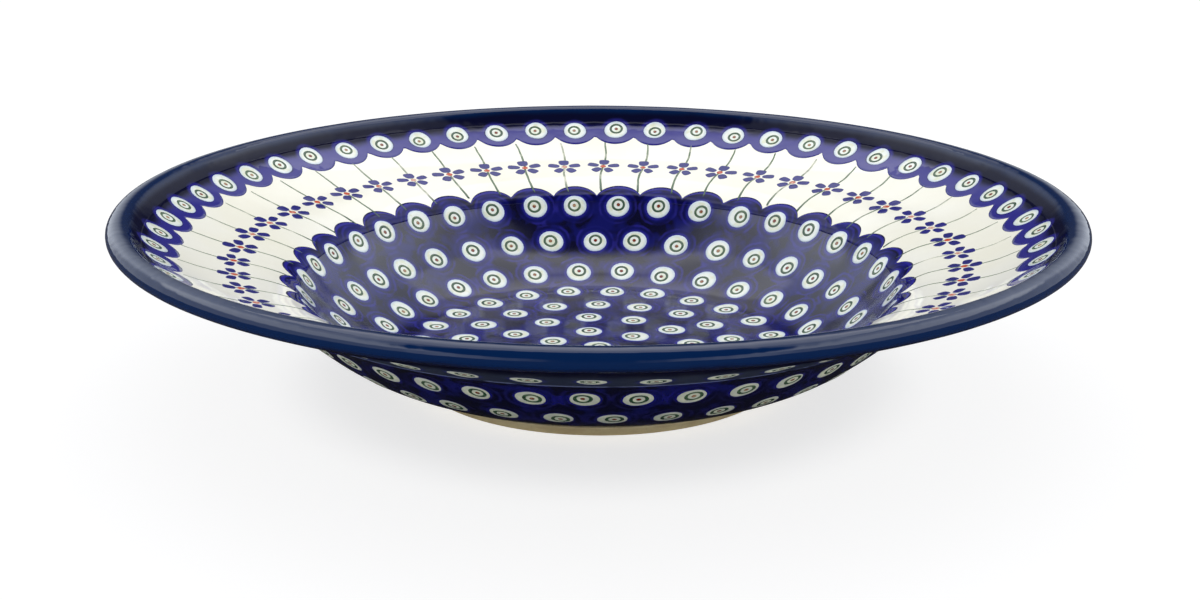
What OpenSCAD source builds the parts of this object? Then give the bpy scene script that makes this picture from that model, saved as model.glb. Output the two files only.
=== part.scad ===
// Deep plate in glazed stoneware: a wide flange round a bowl-shaped well, on a low bare foot.
// The origin is the centre of the face it stands on, +Z is up, and all sizes are in millimetres.
// The clay, its glaze coats and the dabs of colour stamped by hand on the glaze are separate solids.

/* [Plate] */
// Outer diameter, over the glazed lip
plate_d = 300; // [240:1:360]
// Overall height, from the table to the crest of the lip
plate_h = 58; // [50:0.5:68]
// Radius of the rounded lip, glaze included
lip_r = 3.9; // [3.2:0.1:4.6]
// Thickness of every glaze coat
glaze_t = 0.4; // [0.3:0.05:0.6]

/* [Inside surface] */
// Height of the floor at its centre
floor_h = 6.8; // [5.6:0.1:8]
// Rise of the floor from its centre to its edge
floor_rise = 0.3; // [0:0.1:1]
// Width of the flange, from the plate's edge to where it turns down into the well
flange_w = 50.5; // [42:0.5:60]
// Height of that turn
well_edge_h = 35.9; // [30:0.1:42]
// Width of the well's wall, from that turn to the edge of the nearly flat floor
wall_w = 41.5; // [36:0.5:48]
// Distance from the plate's edge to the row of eyes on the flange
eye_row_w = 13.8; // [12.6:0.1:16]
// Drop from the crest of the lip to that row
eye_row_drop = 8; // [7:0.1:9.5]
// Distance from the plate's edge to the inner edge of the dark lip coat
rim_w = 10.6; // [9.8:0.1:11.6]
// Drop from the crest of the lip to that edge
rim_drop = 5.6; // [5:0.1:6.4]

/* [Outside surface] */
// Distance from the plate's edge to the middle of the flange's underside
under_w = 14; // [12:0.5:18]
// Drop from the crest of the lip to the flange's underside there
under_drop = 12.8; // [12:0.1:14]
// Distance from the turn into the well out to the crease between flange and bowl
crease_w = 8; // [6.8:0.1:9.4]
// Drop from that turn to the crease
crease_drop = 2.6; // [2.1:0.1:3.1]
// Distance from the wall's steepest ring out to the upper row of stamps outside
outer_high_w = 7; // [5.8:0.1:8.2]
// Drop from that ring to the upper row
outer_high_drop = 3.7; // [3:0.1:4.4]
// Distance from the middle of the wall out to the lower row of stamps outside
outer_low_w = 6.6; // [5.4:0.1:7.8]
// Drop from the middle of the wall to the lower row
outer_low_drop = 2.6; // [2.1:0.1:3.1]

/* [Foot] */
// Distance from the floor's edge out to where the glaze stops on the foot
foot_top_w = 8; // [6.6:0.1:9.4]
// Height of the foot ring
foot_h = 5; // [4.2:0.1:5.8]
// Width of the foot ring, from there to its inner edge
foot_w = 14; // [12:0.1:16.4]
// Distance from that edge to the wall of the recess
recess_w = 1; // [0.8:0.1:6]
// Height of the recess inside the foot, up to its glaze
recess_h = 1.8; // [1.4:0.1:2.2]
// Radius of the foot's two rounded lower edges
foot_edge_r = 0.8; // [0.4:0.1:1]

/* [Eyes inside] */
// Diameter of a pale eye
eye_d = 8.7; // [7:0.1:9.4]
// Outer diameter of the green ring on an eye
ring_d = 5; // [3.8:0.1:6]
// Diameter of the pale middle of the green ring
iris_d = 3.4; // [2.2:0.1:3.6]
// Diameter of the red dot in the middle of an eye
dot_d = 1.1; // [0.6:0.1:2]
// Distance between neighbouring eyes on the flange
flange_eye_pitch = 15.85; // [12:0.05:19]
// Distance between neighbouring eyes in the well
eye_pitch = 15.6; // [12:0.1:20]
// Distance from the floor's edge out to the outermost row of eyes on the floor
floor_row_w = 0.6; // [0:0.1:2]
// Distance between the rows of eyes on the floor
floor_pitch = 14.2; // [12:0.1:17]

/* [Scallops] */
// How far a scallop on the flange reaches past the middle between two eyes
flange_scallop_lap = 1.675; // [0.8:0.025:3]
// Distance from the row of eyes on the flange to the tips of those scallops
flange_tip_w = 7; // [5.5:0.1:8]
// How far a scallop at the top of the well reaches past the middle between two eyes
well_scallop_lap = 1.6; // [1.3:0.1:3]
// Distance from the well's edge out to the tips of those scallops
well_tip_w = 0.7; // [0.5:0.1:1.5]

/* [Flowers] */
// Distance between neighbouring flowers
flower_pitch = 15.2; // [14.4:0.1:20]
// Distance from a flower's middle to the middle of a petal
petal_reach = 4.2; // [3.8:0.1:4.8]
// Length of a petal
petal_l = 4.8; // [3:0.1:5.4]
// Width of a petal
petal_w = 2.8; // [1.4:0.1:3.2]
// Diameter of a flower's heart
heart_d = 2.4; // [1:0.1:3]
// Width of a stem
stem_w = 0.7; // [0.4:0.1:1.2]

/* [Eyes outside] */
// Diameter of a pale eye on the outside
outer_eye_d = 8; // [6:0.1:9]
// Outer diameter of the green ring on an outside eye
outer_ring_d = 4.8; // [3.6:0.1:5.6]
// Diameter of the pale middle of that ring
outer_iris_d = 3.2; // [2:0.1:3.4]
// Distance between neighbouring eyes under the flange
under_pitch = 16.9; // [12:0.1:20]
// Distance between neighbouring eyes in the upper row of the outer wall
outer_high_pitch = 14.6; // [12:0.1:20]
// Distance between neighbouring eyes in the lower row of the outer wall
outer_low_pitch = 15.1; // [12:0.1:20]

/* [Hidden] */

// Steps along each stretch of the section, round the lip, round a foot edge and round a petal
stretch_n = 7;
lip_n = 16;
edge_n = 6;
petal_n = 10;
petals_n = 5;
$fn = 96;

// Angles of a turn
full_turn = 360;
half_turn = 180;
quarter_turn = 90;

// Slopes of the surface at the stations of the section, in degrees from level
floor_slope = 2;
cove_slope = 32;
wall_slope = 42;
steep_slope = 53;
crown_slope = 47;
well_edge_slope = 27;
flat_slope = 12;
eye_row_slope = 32;
rim_slope = 43;
lip_in_slope = 55;
lip_out_slope = 26;
under_slope = 22;
under_row_slope = 27;
crease_slope = 36;
outer_high_slope = 47;
outer_low_slope = 39;
foot_top_slope = 24;
foot_side_slope = 38;

// Stations of the wall, as shares of its width and of its rise, counted from the floor
cove_shares = [0.2964, 0.1354];
wall_shares = [0.5807, 0.4271];
steep_shares = [0.8434, 0.8125];
// The flattest ring of the flange, as shares of the way from the well's edge to the eyes
flat_shares = [0.3924, 0.3262];
// The row of eyes under the flange, as shares of the way from the crease to the underside
under_row_shares = [0.193, 0.2605];

// Length of wall above its steepest ring that the well's coat still covers
crown_l = 2.6;

// How deep a scallop or stem sits in the coat below, and how far it stands proud of it
brush_seat = 0.1;
brush_proud = 0.12;
// The same for an eye and for a petal, and how far each colour on an eye covers the one below
dab_seat = 0.3;
dab_proud = 0.35;
petal_proud = 0.22;
colour_step = 0.06;

// Turns of the rows round the axis, in degrees
flange_eye_turn = 87.4;
flower_turn = 89.1;
crown_turn = 85.6;
wall_turn = 91.2;
row_turn_step = 5;
outer_high_turn = 92;
outer_low_turn = 87.7;

// Radii and heights of the rows and of the main rings
function way(from, to, share) = from + (to - from) * share;
edge_r = plate_d / 2;
eye_row_r = edge_r - eye_row_w;
eye_row_h = plate_h - eye_row_drop;
rim_r = edge_r - rim_w;
well_edge_r = edge_r - flange_w;
flat_r = way(well_edge_r, eye_row_r, flat_shares[0]);
flat_h = way(well_edge_h, eye_row_h, flat_shares[1]);
floor_r = well_edge_r - wall_w;
floor_edge_h = floor_h + floor_rise;
cove_r = way(floor_r, well_edge_r, cove_shares[0]);
cove_h = way(floor_edge_h, well_edge_h, cove_shares[1]);
wall_r = way(floor_r, well_edge_r, wall_shares[0]);
wall_h = way(floor_edge_h, well_edge_h, wall_shares[1]);
steep_r = way(floor_r, well_edge_r, steep_shares[0]);
steep_h = way(floor_edge_h, well_edge_h, steep_shares[1]);
crown_r = steep_r + crown_l * cos(steep_slope);
crown_h = steep_h + crown_l * sin(steep_slope);
under_r = edge_r - under_w;
under_h = plate_h - under_drop;
crease_r = well_edge_r + crease_w;
crease_h = well_edge_h - crease_drop;
under_row_r = way(crease_r, under_r, under_row_shares[0]);
under_row_h = way(crease_h, under_h, under_row_shares[1]);
outer_high_r = steep_r + outer_high_w;
outer_high_h = steep_h - outer_high_drop;
outer_low_r = wall_r + outer_low_w;
outer_low_h = wall_h - outer_low_drop;
foot_top_r = floor_r + foot_top_w;
foot_inner_r = foot_top_r - foot_w;
recess_r = foot_inner_r - recess_w;

// The direction of a line that runs back towards the axis at a slope
function back(slope) = half_turn + slope;

// One cubic stretch of the section between two stations, each given as [radius, height, slope]
function stretch(a, b) =
    let (l = norm([b[0] - a[0], b[1] - a[1]]),
        ta = l * [cos(a[2]), sin(a[2])],
        tb = l * [cos(b[2]), sin(b[2])])
    [for (i = [0 : stretch_n - 1])
        let (t = i / stretch_n, t2 = t * t, t3 = t2 * t)
        [a[0], a[1]] * (2 * t3 - 3 * t2 + 1) + ta * (t3 - 2 * t2 + t)
        + [b[0], b[1]] * (3 * t2 - 2 * t3) + tb * (t3 - t2)];

// All the stretches between the stations of a list, with its last station
function run(stations) =
    let (last = stations[len(stations) - 1])
    concat([for (i = [0 : len(stations) - 2]) each stretch(stations[i], stations[i + 1])],
        [[last[0], last[1]]]);

// The lip's centre, and the points where its round leaves for the inside and the outside
lip_c = [edge_r - lip_r, plate_h - lip_r];
lip_in = lip_c + lip_r * [-sin(lip_in_slope), cos(lip_in_slope)];
lip_out = lip_c + lip_r * [sin(lip_out_slope), -cos(lip_out_slope)];
lip_sweep = half_turn + lip_in_slope - lip_out_slope;

// The glazed surface, zone by zone, from the middle of the floor over the lip to the foot
well_line = run([[0, floor_h, 0], [floor_r, floor_edge_h, floor_slope],
    [cove_r, cove_h, cove_slope], [wall_r, wall_h, wall_slope], [steep_r, steep_h, steep_slope],
    [crown_r, crown_h, crown_slope]]);
flange_line = run([[crown_r, crown_h, crown_slope], [well_edge_r, well_edge_h, well_edge_slope],
    [flat_r, flat_h, flat_slope], [eye_row_r, eye_row_h, eye_row_slope],
    [rim_r, plate_h - rim_drop, rim_slope]]);
rim_line = run([[rim_r, plate_h - rim_drop, rim_slope], [lip_in[0], lip_in[1], lip_in_slope]]);
lip_line = [for (i = [0 : lip_n])
    let (a = quarter_turn + lip_in_slope - i * lip_sweep / lip_n)
    lip_c + lip_r * [cos(a), sin(a)]];
under_line = run([[lip_out[0], lip_out[1], back(lip_out_slope)],
    [under_r, under_h, back(under_slope)], [under_row_r, under_row_h, back(under_row_slope)],
    [crease_r, crease_h, back(crease_slope)]]);
outer_line = run([[crease_r, crease_h, back(crease_slope)],
    [outer_high_r, outer_high_h, back(outer_high_slope)],
    [outer_low_r, outer_low_h, back(outer_low_slope)], [foot_top_r, foot_h, back(foot_top_slope)]]);

// The unit vector out of the clay at point i of a line, and at a station of known slope
function out_at(line, i) =
    let (d = line[min(i + 1, len(line) - 1)] - line[max(i - 1, 0)])
    [-d[1], d[0]] / norm(d);
function out_of(slope) = [-sin(slope), cos(slope)];

// A line moved along its normals by h, with the directions to use at its two ends
function moved(line, h, first, last) =
    [for (i = [0 : len(line) - 1])
        line[i] + h * (i == 0 ? first : i == len(line) - 1 ? last : out_at(line, i))];
function reversed(list) = [for (i = [len(list) - 1 : -1 : 0]) list[i]];

// The same zones on the clay, one coat further in; the coat ends level on top of the foot
foot_end = [1 / sin(foot_top_slope), 0];
well_clay = moved(well_line, -glaze_t, out_of(0), out_of(crown_slope));
flange_clay = moved(flange_line, -glaze_t, out_of(crown_slope), out_of(rim_slope));
rim_clay = moved(rim_line, -glaze_t, out_of(rim_slope), out_of(lip_in_slope));
lip_clay = moved(lip_line, -glaze_t, out_of(lip_in_slope), out_of(back(lip_out_slope)));
under_clay = moved(under_line, -glaze_t, out_of(back(lip_out_slope)), out_of(back(crease_slope)));
outer_clay = moved(outer_line, -glaze_t, out_of(back(crease_slope)), foot_end);

// Height and slope of the glaze at radius r
inside_line = concat(well_line, flange_line, rim_line);
outside_line = reversed(concat(under_line, outer_line));
slope_span = eye_d / 8;
function height_at(line, r) =
    let (k = [for (i = [0 : len(line) - 2]) if (line[i][0] <= r && line[i + 1][0] > r) i][0],
        a = line[k], b = line[k + 1])
    a[1] + (b[1] - a[1]) * (r - a[0]) / (b[0] - a[0]);
function slope_at(line, r) =
    atan2(height_at(line, r + slope_span) - height_at(line, r - slope_span), 2 * slope_span);

// Rows of eyes as [radius, number, turn]
function round_n(r, pitch) = round(2 * PI * r / pitch);
function row_n(r) = round_n(r, eye_pitch);
flange_eyes_n = round_n(eye_row_r, flange_eye_pitch);
flowers_n = round_n(flat_r, flower_pitch);
floor_row_r = floor_r + floor_row_w;
floor_rows_n = floor(floor_row_r / floor_pitch - eye_d / floor_pitch);
well_rows = concat([[steep_r, row_n(steep_r), crown_turn], [wall_r, row_n(wall_r), wall_turn],
        [cove_r, row_n(cove_r), wall_turn + row_turn_step]],
    [for (i = [0 : floor_rows_n])
        let (r = floor_row_r - i * floor_pitch)
        [r, row_n(r), crown_turn + i * row_turn_step]]);
flange_rows = [[eye_row_r, flange_eyes_n, flange_eye_turn]];
outside_rows = [[under_row_r, round_n(under_row_r, under_pitch), flower_turn],
    [outer_high_r, round_n(outer_high_r, outer_high_pitch), outer_high_turn],
    [outer_low_r, round_n(outer_low_r, outer_low_pitch), outer_low_turn]];

// Radii of the scallops, seen from above
flange_scallop_r = flange_eye_pitch / 2 + flange_scallop_lap;
well_scallop_r = eye_pitch / 2 + well_scallop_lap;

// Children at radius r and turn a on the inside, with +Z out of the glaze and +X up the slope
module on_inside(r, a) {
    rotate([0, 0, a])
        translate([r, 0, height_at(inside_line, r)])
            rotate([0, -slope_at(inside_line, r), 0])
                children();
}

// The same on the outside, with +X down the slope
module on_outside(r, a) {
    rotate([0, 0, a])
        translate([r, 0, height_at(outside_line, r)])
            rotate([0, half_turn - slope_at(outside_line, r), 0])
                children();
}

// Children at every place of a list of rows
module along_inside(rows) {
    for (row = rows, i = [0 : row[1] - 1])
        on_inside(row[0], row[2] + i * full_turn / row[1])
            children();
}
module along_outside(rows) {
    for (row = rows, i = [0 : row[1] - 1])
        on_outside(row[0], row[2] + i * full_turn / row[1])
            children();
}
module in_the_well() {
    along_inside(well_rows)
        children();
    translate([0, 0, floor_h])
        children();
}

// The three colours of an eye: its pale disc and iris, the green ring between them and the dot
module eye(d, iris) {
    translate([0, 0, -dab_seat])
        cylinder(d = d, h = dab_seat + dab_proud);
    cylinder(d = iris, h = dab_proud + 2 * colour_step);
}
module eye_ring(d) {
    cylinder(d = d, h = dab_proud + colour_step);
}
module eye_dot() {
    cylinder(d = dot_d, h = dab_proud + 3 * colour_step);
}

// A coat of glaze between a line of the surface and the clay line under it
module coat(line, clay) {
    rotate_extrude()
        polygon(concat(line, reversed(clay)));
}

// Whatever of the children lies in a thin skin along the flange's surface
module brushed() {
    low = moved(flange_line, -brush_seat, out_of(crown_slope), out_of(rim_slope));
    high = moved(flange_line, brush_proud, out_of(crown_slope), out_of(rim_slope));
    intersection() {
        rotate_extrude()
            polygon(concat(high, reversed(low)));
        children();
    }
}

// A ring of n upright discs of radius r, with their middles at radius c
module disc_ring(n, c, r, turn) {
    for (i = [0 : n - 1])
        rotate([0, 0, turn + i * full_turn / n])
            translate([c, 0, 0])
                cylinder(r = r, h = plate_h);
}

// A petal lying along X, pointed towards the heart and round at its far end
module petal() {
    translate([0, 0, -dab_seat])
        linear_extrude(dab_seat + petal_proud)
            polygon([for (i = [0 : petal_n - 1])
                let (a = i * full_turn / petal_n)
                [cos(a) * petal_l / 2, sin(a) * (1 + cos(a) / 3) * petal_w / 2]]);
}

// Clay and glaze
module clay_body() {
    color("tan")
        rotate_extrude()
            polygon(concat(well_clay, flange_clay, rim_clay, lip_clay, under_clay, outer_clay,
                [[recess_r, foot_h], [recess_r, recess_h + glaze_t], [0, recess_h + glaze_t]]));
}

module foot_ring() {
    side_h = foot_h - foot_edge_r * (1 - cos(foot_side_slope));
    outer_c = [foot_top_r - side_h / tan(foot_side_slope) - foot_edge_r * sin(foot_side_slope),
        foot_edge_r];
    inner_c = [foot_inner_r + foot_edge_r, foot_edge_r];
    color("burlywood")
        rotate_extrude()
            polygon(concat([[recess_r, foot_h], [foot_top_r, foot_h]],
                [for (i = [0 : edge_n])
                    outer_c + foot_edge_r * out_of(half_turn + foot_side_slope * (1 - i / edge_n))],
                [for (i = [0 : edge_n])
                    inner_c + foot_edge_r * out_of(half_turn - quarter_turn * i / edge_n)],
                [[recess_r, recess_h]]));
}

module well_glaze() {
    color("darkblue")
        coat(well_line, well_clay);
}

module flange_glaze() {
    color("ivory")
        coat(flange_line, flange_clay);
}

module rim_glaze() {
    color("midnightblue")
        coat(concat(rim_line, lip_line), concat(rim_clay, lip_clay));
}

module underside_glaze() {
    color("midnightblue")
        coat(under_line, under_clay);
}

module outer_wall_glaze() {
    color("darkblue")
        coat(outer_line, outer_clay);
}

module base_glaze() {
    color("antiquewhite")
        translate([0, 0, recess_h])
            cylinder(r = recess_r, h = glaze_t);
}

// Blue scallops
module flange_scallops() {
    color("slateblue")
        brushed()
            disc_ring(flange_eyes_n, eye_row_r - flange_tip_w + flange_scallop_r, flange_scallop_r,
                flange_eye_turn);
}

module well_scallops() {
    color("darkblue")
        brushed()
            disc_ring(row_n(steep_r), well_edge_r + well_tip_w - well_scallop_r, well_scallop_r,
                crown_turn);
}

// Eyes on the flange
module flange_eyes() {
    color("honeydew")
        along_inside(flange_rows)
            eye(eye_d, iris_d);
}

module flange_eye_rings() {
    color("darkslategray")
        along_inside(flange_rows)
            eye_ring(ring_d);
}

module flange_eye_dots() {
    color("firebrick")
        along_inside(flange_rows)
            eye_dot();
}

// Eyes in the well
module well_eyes() {
    color("honeydew")
        in_the_well()
            eye(eye_d, iris_d);
}

module well_eye_rings() {
    color("darkslategray")
        in_the_well()
            eye_ring(ring_d);
}

module well_eye_dots() {
    color("firebrick")
        in_the_well()
            eye_dot();
}

// Flowers on the flange
module flower_petals() {
    color("slateblue")
        for (i = [0 : flowers_n - 1], k = [0 : petals_n - 1]) {
            turn = k * full_turn / petals_n;
            along = petal_reach * cos(turn);
            aside = petal_reach * sin(turn);
            place = flower_turn + i * full_turn / flowers_n + asin(aside / (flat_r + along));
            on_inside(flat_r + along, place)
                rotate([0, 0, turn])
                    petal();
        }
}

module flower_hearts() {
    color("orangered")
        along_inside([[flat_r, flowers_n, flower_turn]])
            translate([0, 0, -dab_seat])
                cylinder(d = heart_d, h = dab_seat + dab_proud);
}

module flower_stems() {
    color("darkkhaki")
        brushed()
            for (i = [0 : flowers_n - 1])
                rotate([0, 0, flower_turn + i * full_turn / flowers_n])
                    translate([steep_r, -stem_w / 2, 0])
                        cube([eye_row_r - flange_tip_w - steep_r, stem_w, plate_h]);
}

// Eyes on the outside
module outside_eyes() {
    color("honeydew")
        along_outside(outside_rows)
            eye(outer_eye_d, outer_iris_d);
}

module outside_eye_rings() {
    color("darkslategray")
        along_outside(outside_rows)
            eye_ring(outer_ring_d);
}

module outside_eye_dots() {
    color("firebrick")
        along_outside(outside_rows)
            eye_dot();
}

clay_body();
foot_ring();
well_glaze();
flange_glaze();
rim_glaze();
underside_glaze();
outer_wall_glaze();
base_glaze();
flange_scallops();
well_scallops();
flange_eyes();
flange_eye_rings();
flange_eye_dots();
well_eyes();
well_eye_rings();
well_eye_dots();
flower_petals();
flower_hearts();
flower_stems();
outside_eyes();
outside_eye_rings();
outside_eye_dots();
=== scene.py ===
import math

import bmesh
import bpy
from bpy.props import FloatProperty, FloatVectorProperty, IntProperty, PointerProperty
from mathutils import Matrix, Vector


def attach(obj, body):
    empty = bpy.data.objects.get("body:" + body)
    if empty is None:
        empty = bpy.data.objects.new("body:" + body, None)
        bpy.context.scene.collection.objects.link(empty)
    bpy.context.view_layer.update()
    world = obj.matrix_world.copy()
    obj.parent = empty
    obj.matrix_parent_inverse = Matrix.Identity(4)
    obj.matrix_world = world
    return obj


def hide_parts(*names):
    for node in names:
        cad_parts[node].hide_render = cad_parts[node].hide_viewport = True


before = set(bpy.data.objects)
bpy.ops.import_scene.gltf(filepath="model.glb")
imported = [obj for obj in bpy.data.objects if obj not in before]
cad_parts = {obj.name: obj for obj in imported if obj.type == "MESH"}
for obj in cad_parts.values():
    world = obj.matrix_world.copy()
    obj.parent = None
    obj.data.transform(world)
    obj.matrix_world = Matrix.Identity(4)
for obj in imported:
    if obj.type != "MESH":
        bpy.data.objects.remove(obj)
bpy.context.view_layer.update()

# A glazed stoneware deep plate. The section of the plate is worked out once from its sizes.
# Glaze coats and stamped colours are made flat, with X along the section, Y round the plate
# and Z out of the glaze, and a node tree then lays them on the section.
BODY = "root"
MM = 0.001
TOUCHING = 1e-6
ROUND = 2 * math.pi
LOW_GLOSS = (0.25, 0.35)

bl_info = {
    "name": "Glazed deep plate",
    "version": (1, 0, 0),
    "blender": (4, 5, 0),
    "location": "View3D > Sidebar > Plate",
    "description": "Builds a stoneware deep plate with glaze coats, scallops, eyes and flowers",
    "category": "Object",
}


def length(millimetres, description):
    """A length property, stored in metres and given here in millimetres."""
    return FloatProperty(description=description, default=millimetres * MM, unit="LENGTH",
                         subtype="DISTANCE", precision=5)


def slope(degrees, description):
    """An angle property, stored in radians and given here in degrees."""
    return FloatProperty(description=description, default=math.radians(degrees),
                         unit="ROTATION", subtype="ANGLE")


def count(default, description):
    """A property for how many times something is stamped round the plate."""
    return IntProperty(description=description, default=default, min=1)


def linear(value):
    """One screen value from 0 to 255 as a linear one."""
    share = value / 255
    return share / 12.92 if share <= 0.04045 else ((share + 0.055) / 1.055) ** 2.4


def paint(red, green, blue, description):
    """A colour property, given as screen values from 0 to 255."""
    return FloatVectorProperty(description=description, size=3, subtype="COLOR", min=0, max=1,
                               default=[linear(v) for v in (red, green, blue)])


class PlateSizes(bpy.types.PropertyGroup):
    """Sizes of the plate's section."""
    diameter: length(300, "Outer diameter, over the glazed lip")
    height: length(58, "From the table to the crest of the lip")
    lip_radius: length(3.9, "Radius of the rounded lip")
    lip_half: length(3.2, "Half the height of the lip outside its crest")
    glaze: length(0.4, "Thickness of every glaze coat")
    floor_height: length(6.8, "Height of the floor at its centre")
    floor_radius: length(58, "Radius of the nearly flat floor")
    floor_rise: length(0.3, "Rise of the floor from its centre to its edge")
    cove_radius: length(70.3, "Middle of the curve between floor and wall")
    cove_height: length(11, "Height of that curve")
    wall_radius: length(82.1, "Radius of the wall half way up")
    wall_height: length(19.4, "Height of that ring")
    steep_radius: length(93, "Radius of the steepest ring of the wall")
    steep_height: length(30.5, "Height of that ring")
    crown: length(2.6, "Wall above that ring which the well's coat still covers")
    edge_radius: length(99.5, "Where the wall turns out into the flange")
    edge_height: length(35.9, "Height of that turn")
    flat_width: length(14.4, "From there to the flattest ring")
    flat_height: length(40.5, "Height of the flattest ring")
    eye_row_width: length(13.8, "From the edge to the flange's eyes")
    eye_row_drop: length(8, "From the crest down to the flange's eyes")
    rim_width: length(10.6, "From the edge to the lip coat's inner edge")
    rim_drop: length(5.6, "From the crest down to that edge")
    under_width: length(14, "From the edge to the flange's underside")
    under_drop: length(11.3, "From the crest down to the underside there")
    under_row_radius: length(113, "Row of eyes under the flange")
    under_row_height: length(36.6, "Height of that row")
    crease_radius: length(107.5, "Crease between flange and bowl")
    crease_height: length(33.3, "Height of the crease")
    high_radius: length(100, "Upper row of eyes on the outer wall")
    high_height: length(26.8, "Height of that row")
    low_radius: length(88.7, "Lower row of eyes on the outer wall")
    low_height: length(16.8, "Height of that row")
    foot_top_radius: length(66, "Where the glaze stops above the foot")
    foot_height: length(5, "Height of the foot ring")
    foot_inner_radius: length(52, "Inside of the face it stands on")
    recess_radius: length(51, "Recess inside the foot")
    recess_height: length(1.8, "Depth of that recess")
    foot_edge: length(0.8, "Radius of the foot's rounded edges")


class PlateSlopes(bpy.types.PropertyGroup):
    """Slopes of the section, from level, at the rings named in the sizes."""
    floor: slope(2, "At the edge of the floor")
    cove: slope(32, "At the curve between floor and wall")
    wall: slope(42, "Half way up the wall")
    steep: slope(53, "At the steepest ring of the wall")
    crown: slope(47, "At the upper edge of the well's coat")
    edge: slope(27, "Where the wall turns out into the flange")
    flat: slope(12, "At the flattest ring of the flange")
    eye_row: slope(32, "At the flange's eyes")
    rim: slope(43, "At the lip coat's inner edge")
    lip_inside: slope(55, "Where the round of the lip begins inside")
    lip_outside: slope(26, "Where the round of the lip ends outside")
    under: slope(24, "Under the flange")
    under_row: slope(29, "At the eyes under the flange")
    crease: slope(36, "At the crease")
    high: slope(47, "At the upper row of the outer wall")
    low: slope(39, "At the lower row of the outer wall")
    foot: slope(24, "Where the glaze stops above the foot")
    foot_side: slope(38, "Side of the bare foot")


class StampSizes(bpy.types.PropertyGroup):
    """Sizes and numbers of the stamped colours."""
    eye: length(8.8, "Diameter of a pale eye")
    ring: length(5.2, "Outer diameter of the green ring on an eye")
    iris: length(3.4, "Inner diameter of the green ring on an eye")
    dot: length(1.4, "Diameter of the red dot in an eye")
    outer_eye: length(8.1, "Diameter of a pale eye on the outside")
    outer_ring: length(5.3, "Outer diameter of the green ring there")
    outer_iris: length(3.3, "Inner diameter of the green ring there")
    pitch: length(15.6, "Distance between neighbouring eyes in the well")
    floor_row: length(58.6, "Radius of the outermost row on the floor")
    floor_pitch: length(14.2, "Distance between rows on the floor")
    flange_eyes: count(54, "Number of eyes on the flange")
    flowers: count(47, "Number of flowers")
    under_eyes: count(42, "Number of eyes under the flange")
    high_eyes: count(43, "Number in the upper row outside")
    low_eyes: count(37, "Number in the lower row outside")
    flange_scallop: length(9.6, "Radius of a scallop there, from above")
    flange_tip: length(7, "From the eyes to the scallops' tips")
    well_scallop: length(9.4, "Radius of a scallop there, from above")
    well_tip: length(0.7, "From the well's edge to the scallops' tips")
    petal: length(4.7, "Length of a petal")
    petal_width: length(3.1, "Width of a petal")
    petal_reach: length(4.1, "From a flower's middle to a petal's middle")
    heart: length(2.3, "Diameter of a flower's heart")
    stem: length(0.8, "Width of a stem")
    proud: length(0.07, "How far a stamp stands proud of the glaze")
    seat: length(0.12, "How deep a stamp sits in the glaze")


class PlateColours(bpy.types.PropertyGroup):
    """Colours of clay, glazes and stamps."""
    clay: paint(242, 227, 184, "Bare fired clay")
    clay_dark: paint(212, 188, 140, "Bare clay where it is toasted")
    cobalt: paint(14, 18, 96, "Cobalt glaze where it is thick")
    # Also laid over nearly all the outer wall, where it is painted shade
    cobalt_dark: paint(8, 8, 42, "Cobalt glaze in its darkest pools")
    cobalt_pale: paint(44, 41, 150, "Cobalt glaze where it is thin")
    navy: paint(3, 32, 74, "Navy glaze on the lip")
    navy_dark: paint(10, 12, 40, "Navy glaze on the flange")
    violet: paint(44, 42, 134, "Blue of the flange's scallops")
    violet_dark: paint(20, 20, 84, "Blue close to an eye")
    crease: paint(112, 122, 160, "Thin glaze on the crease below the flange")
    # Painted light: the underside runs from dark navy under the lip to this paler navy at the
    # crease
    slate: paint(47, 54, 74, "Navy glaze where it thins towards the crease")
    petal: paint(42, 44, 122, "Blue of the petals")
    cream: paint(252, 251, 240, "Clear glaze over the pale slip")
    cream_warm: paint(247, 244, 224, "The same where it pools")
    eye: paint(238, 244, 236, "Pale slip of the eyes")
    eye_edge: paint(206, 220, 234, "Bluish edge of the eyes")
    eye_warm: paint(226, 230, 200, "Greenish patch in the eyes")
    # Painted shade: a darker, warmer copy of the eyes' slip, for the eyes under the flange
    outer_eye: paint(202, 207, 190, "Pale slip of the outside eyes")
    ring: paint(52, 84, 60, "Green of the rings")
    ring_pale: paint(106, 132, 96, "The same where it is thin")
    dot: paint(120, 34, 18, "Red of the dots")
    heart: paint(200, 78, 38, "Orange of the hearts")
    stem: paint(96, 120, 88, "Olive of the stems")
    floor: paint(244, 244, 245, "The floor it stands on")


def hermite(start, end, steps=24):
    """Points on a cubic stretch between two stations, each (radius, height, direction)."""
    (r0, z0, a0), (r1, z1, a1) = start, end
    chord = math.hypot(r1 - r0, z1 - z0)
    for i in range(steps):
        t = i / steps
        near, far = 2 * t ** 3 - 3 * t ** 2 + 1, 3 * t ** 2 - 2 * t ** 3
        out, into = chord * (t ** 3 - 2 * t ** 2 + t), chord * (t ** 3 - t ** 2)
        yield (near * r0 + far * r1 + out * math.cos(a0) + into * math.cos(a1),
               near * z0 + far * z1 + out * math.sin(a0) + into * math.sin(a1))


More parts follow.
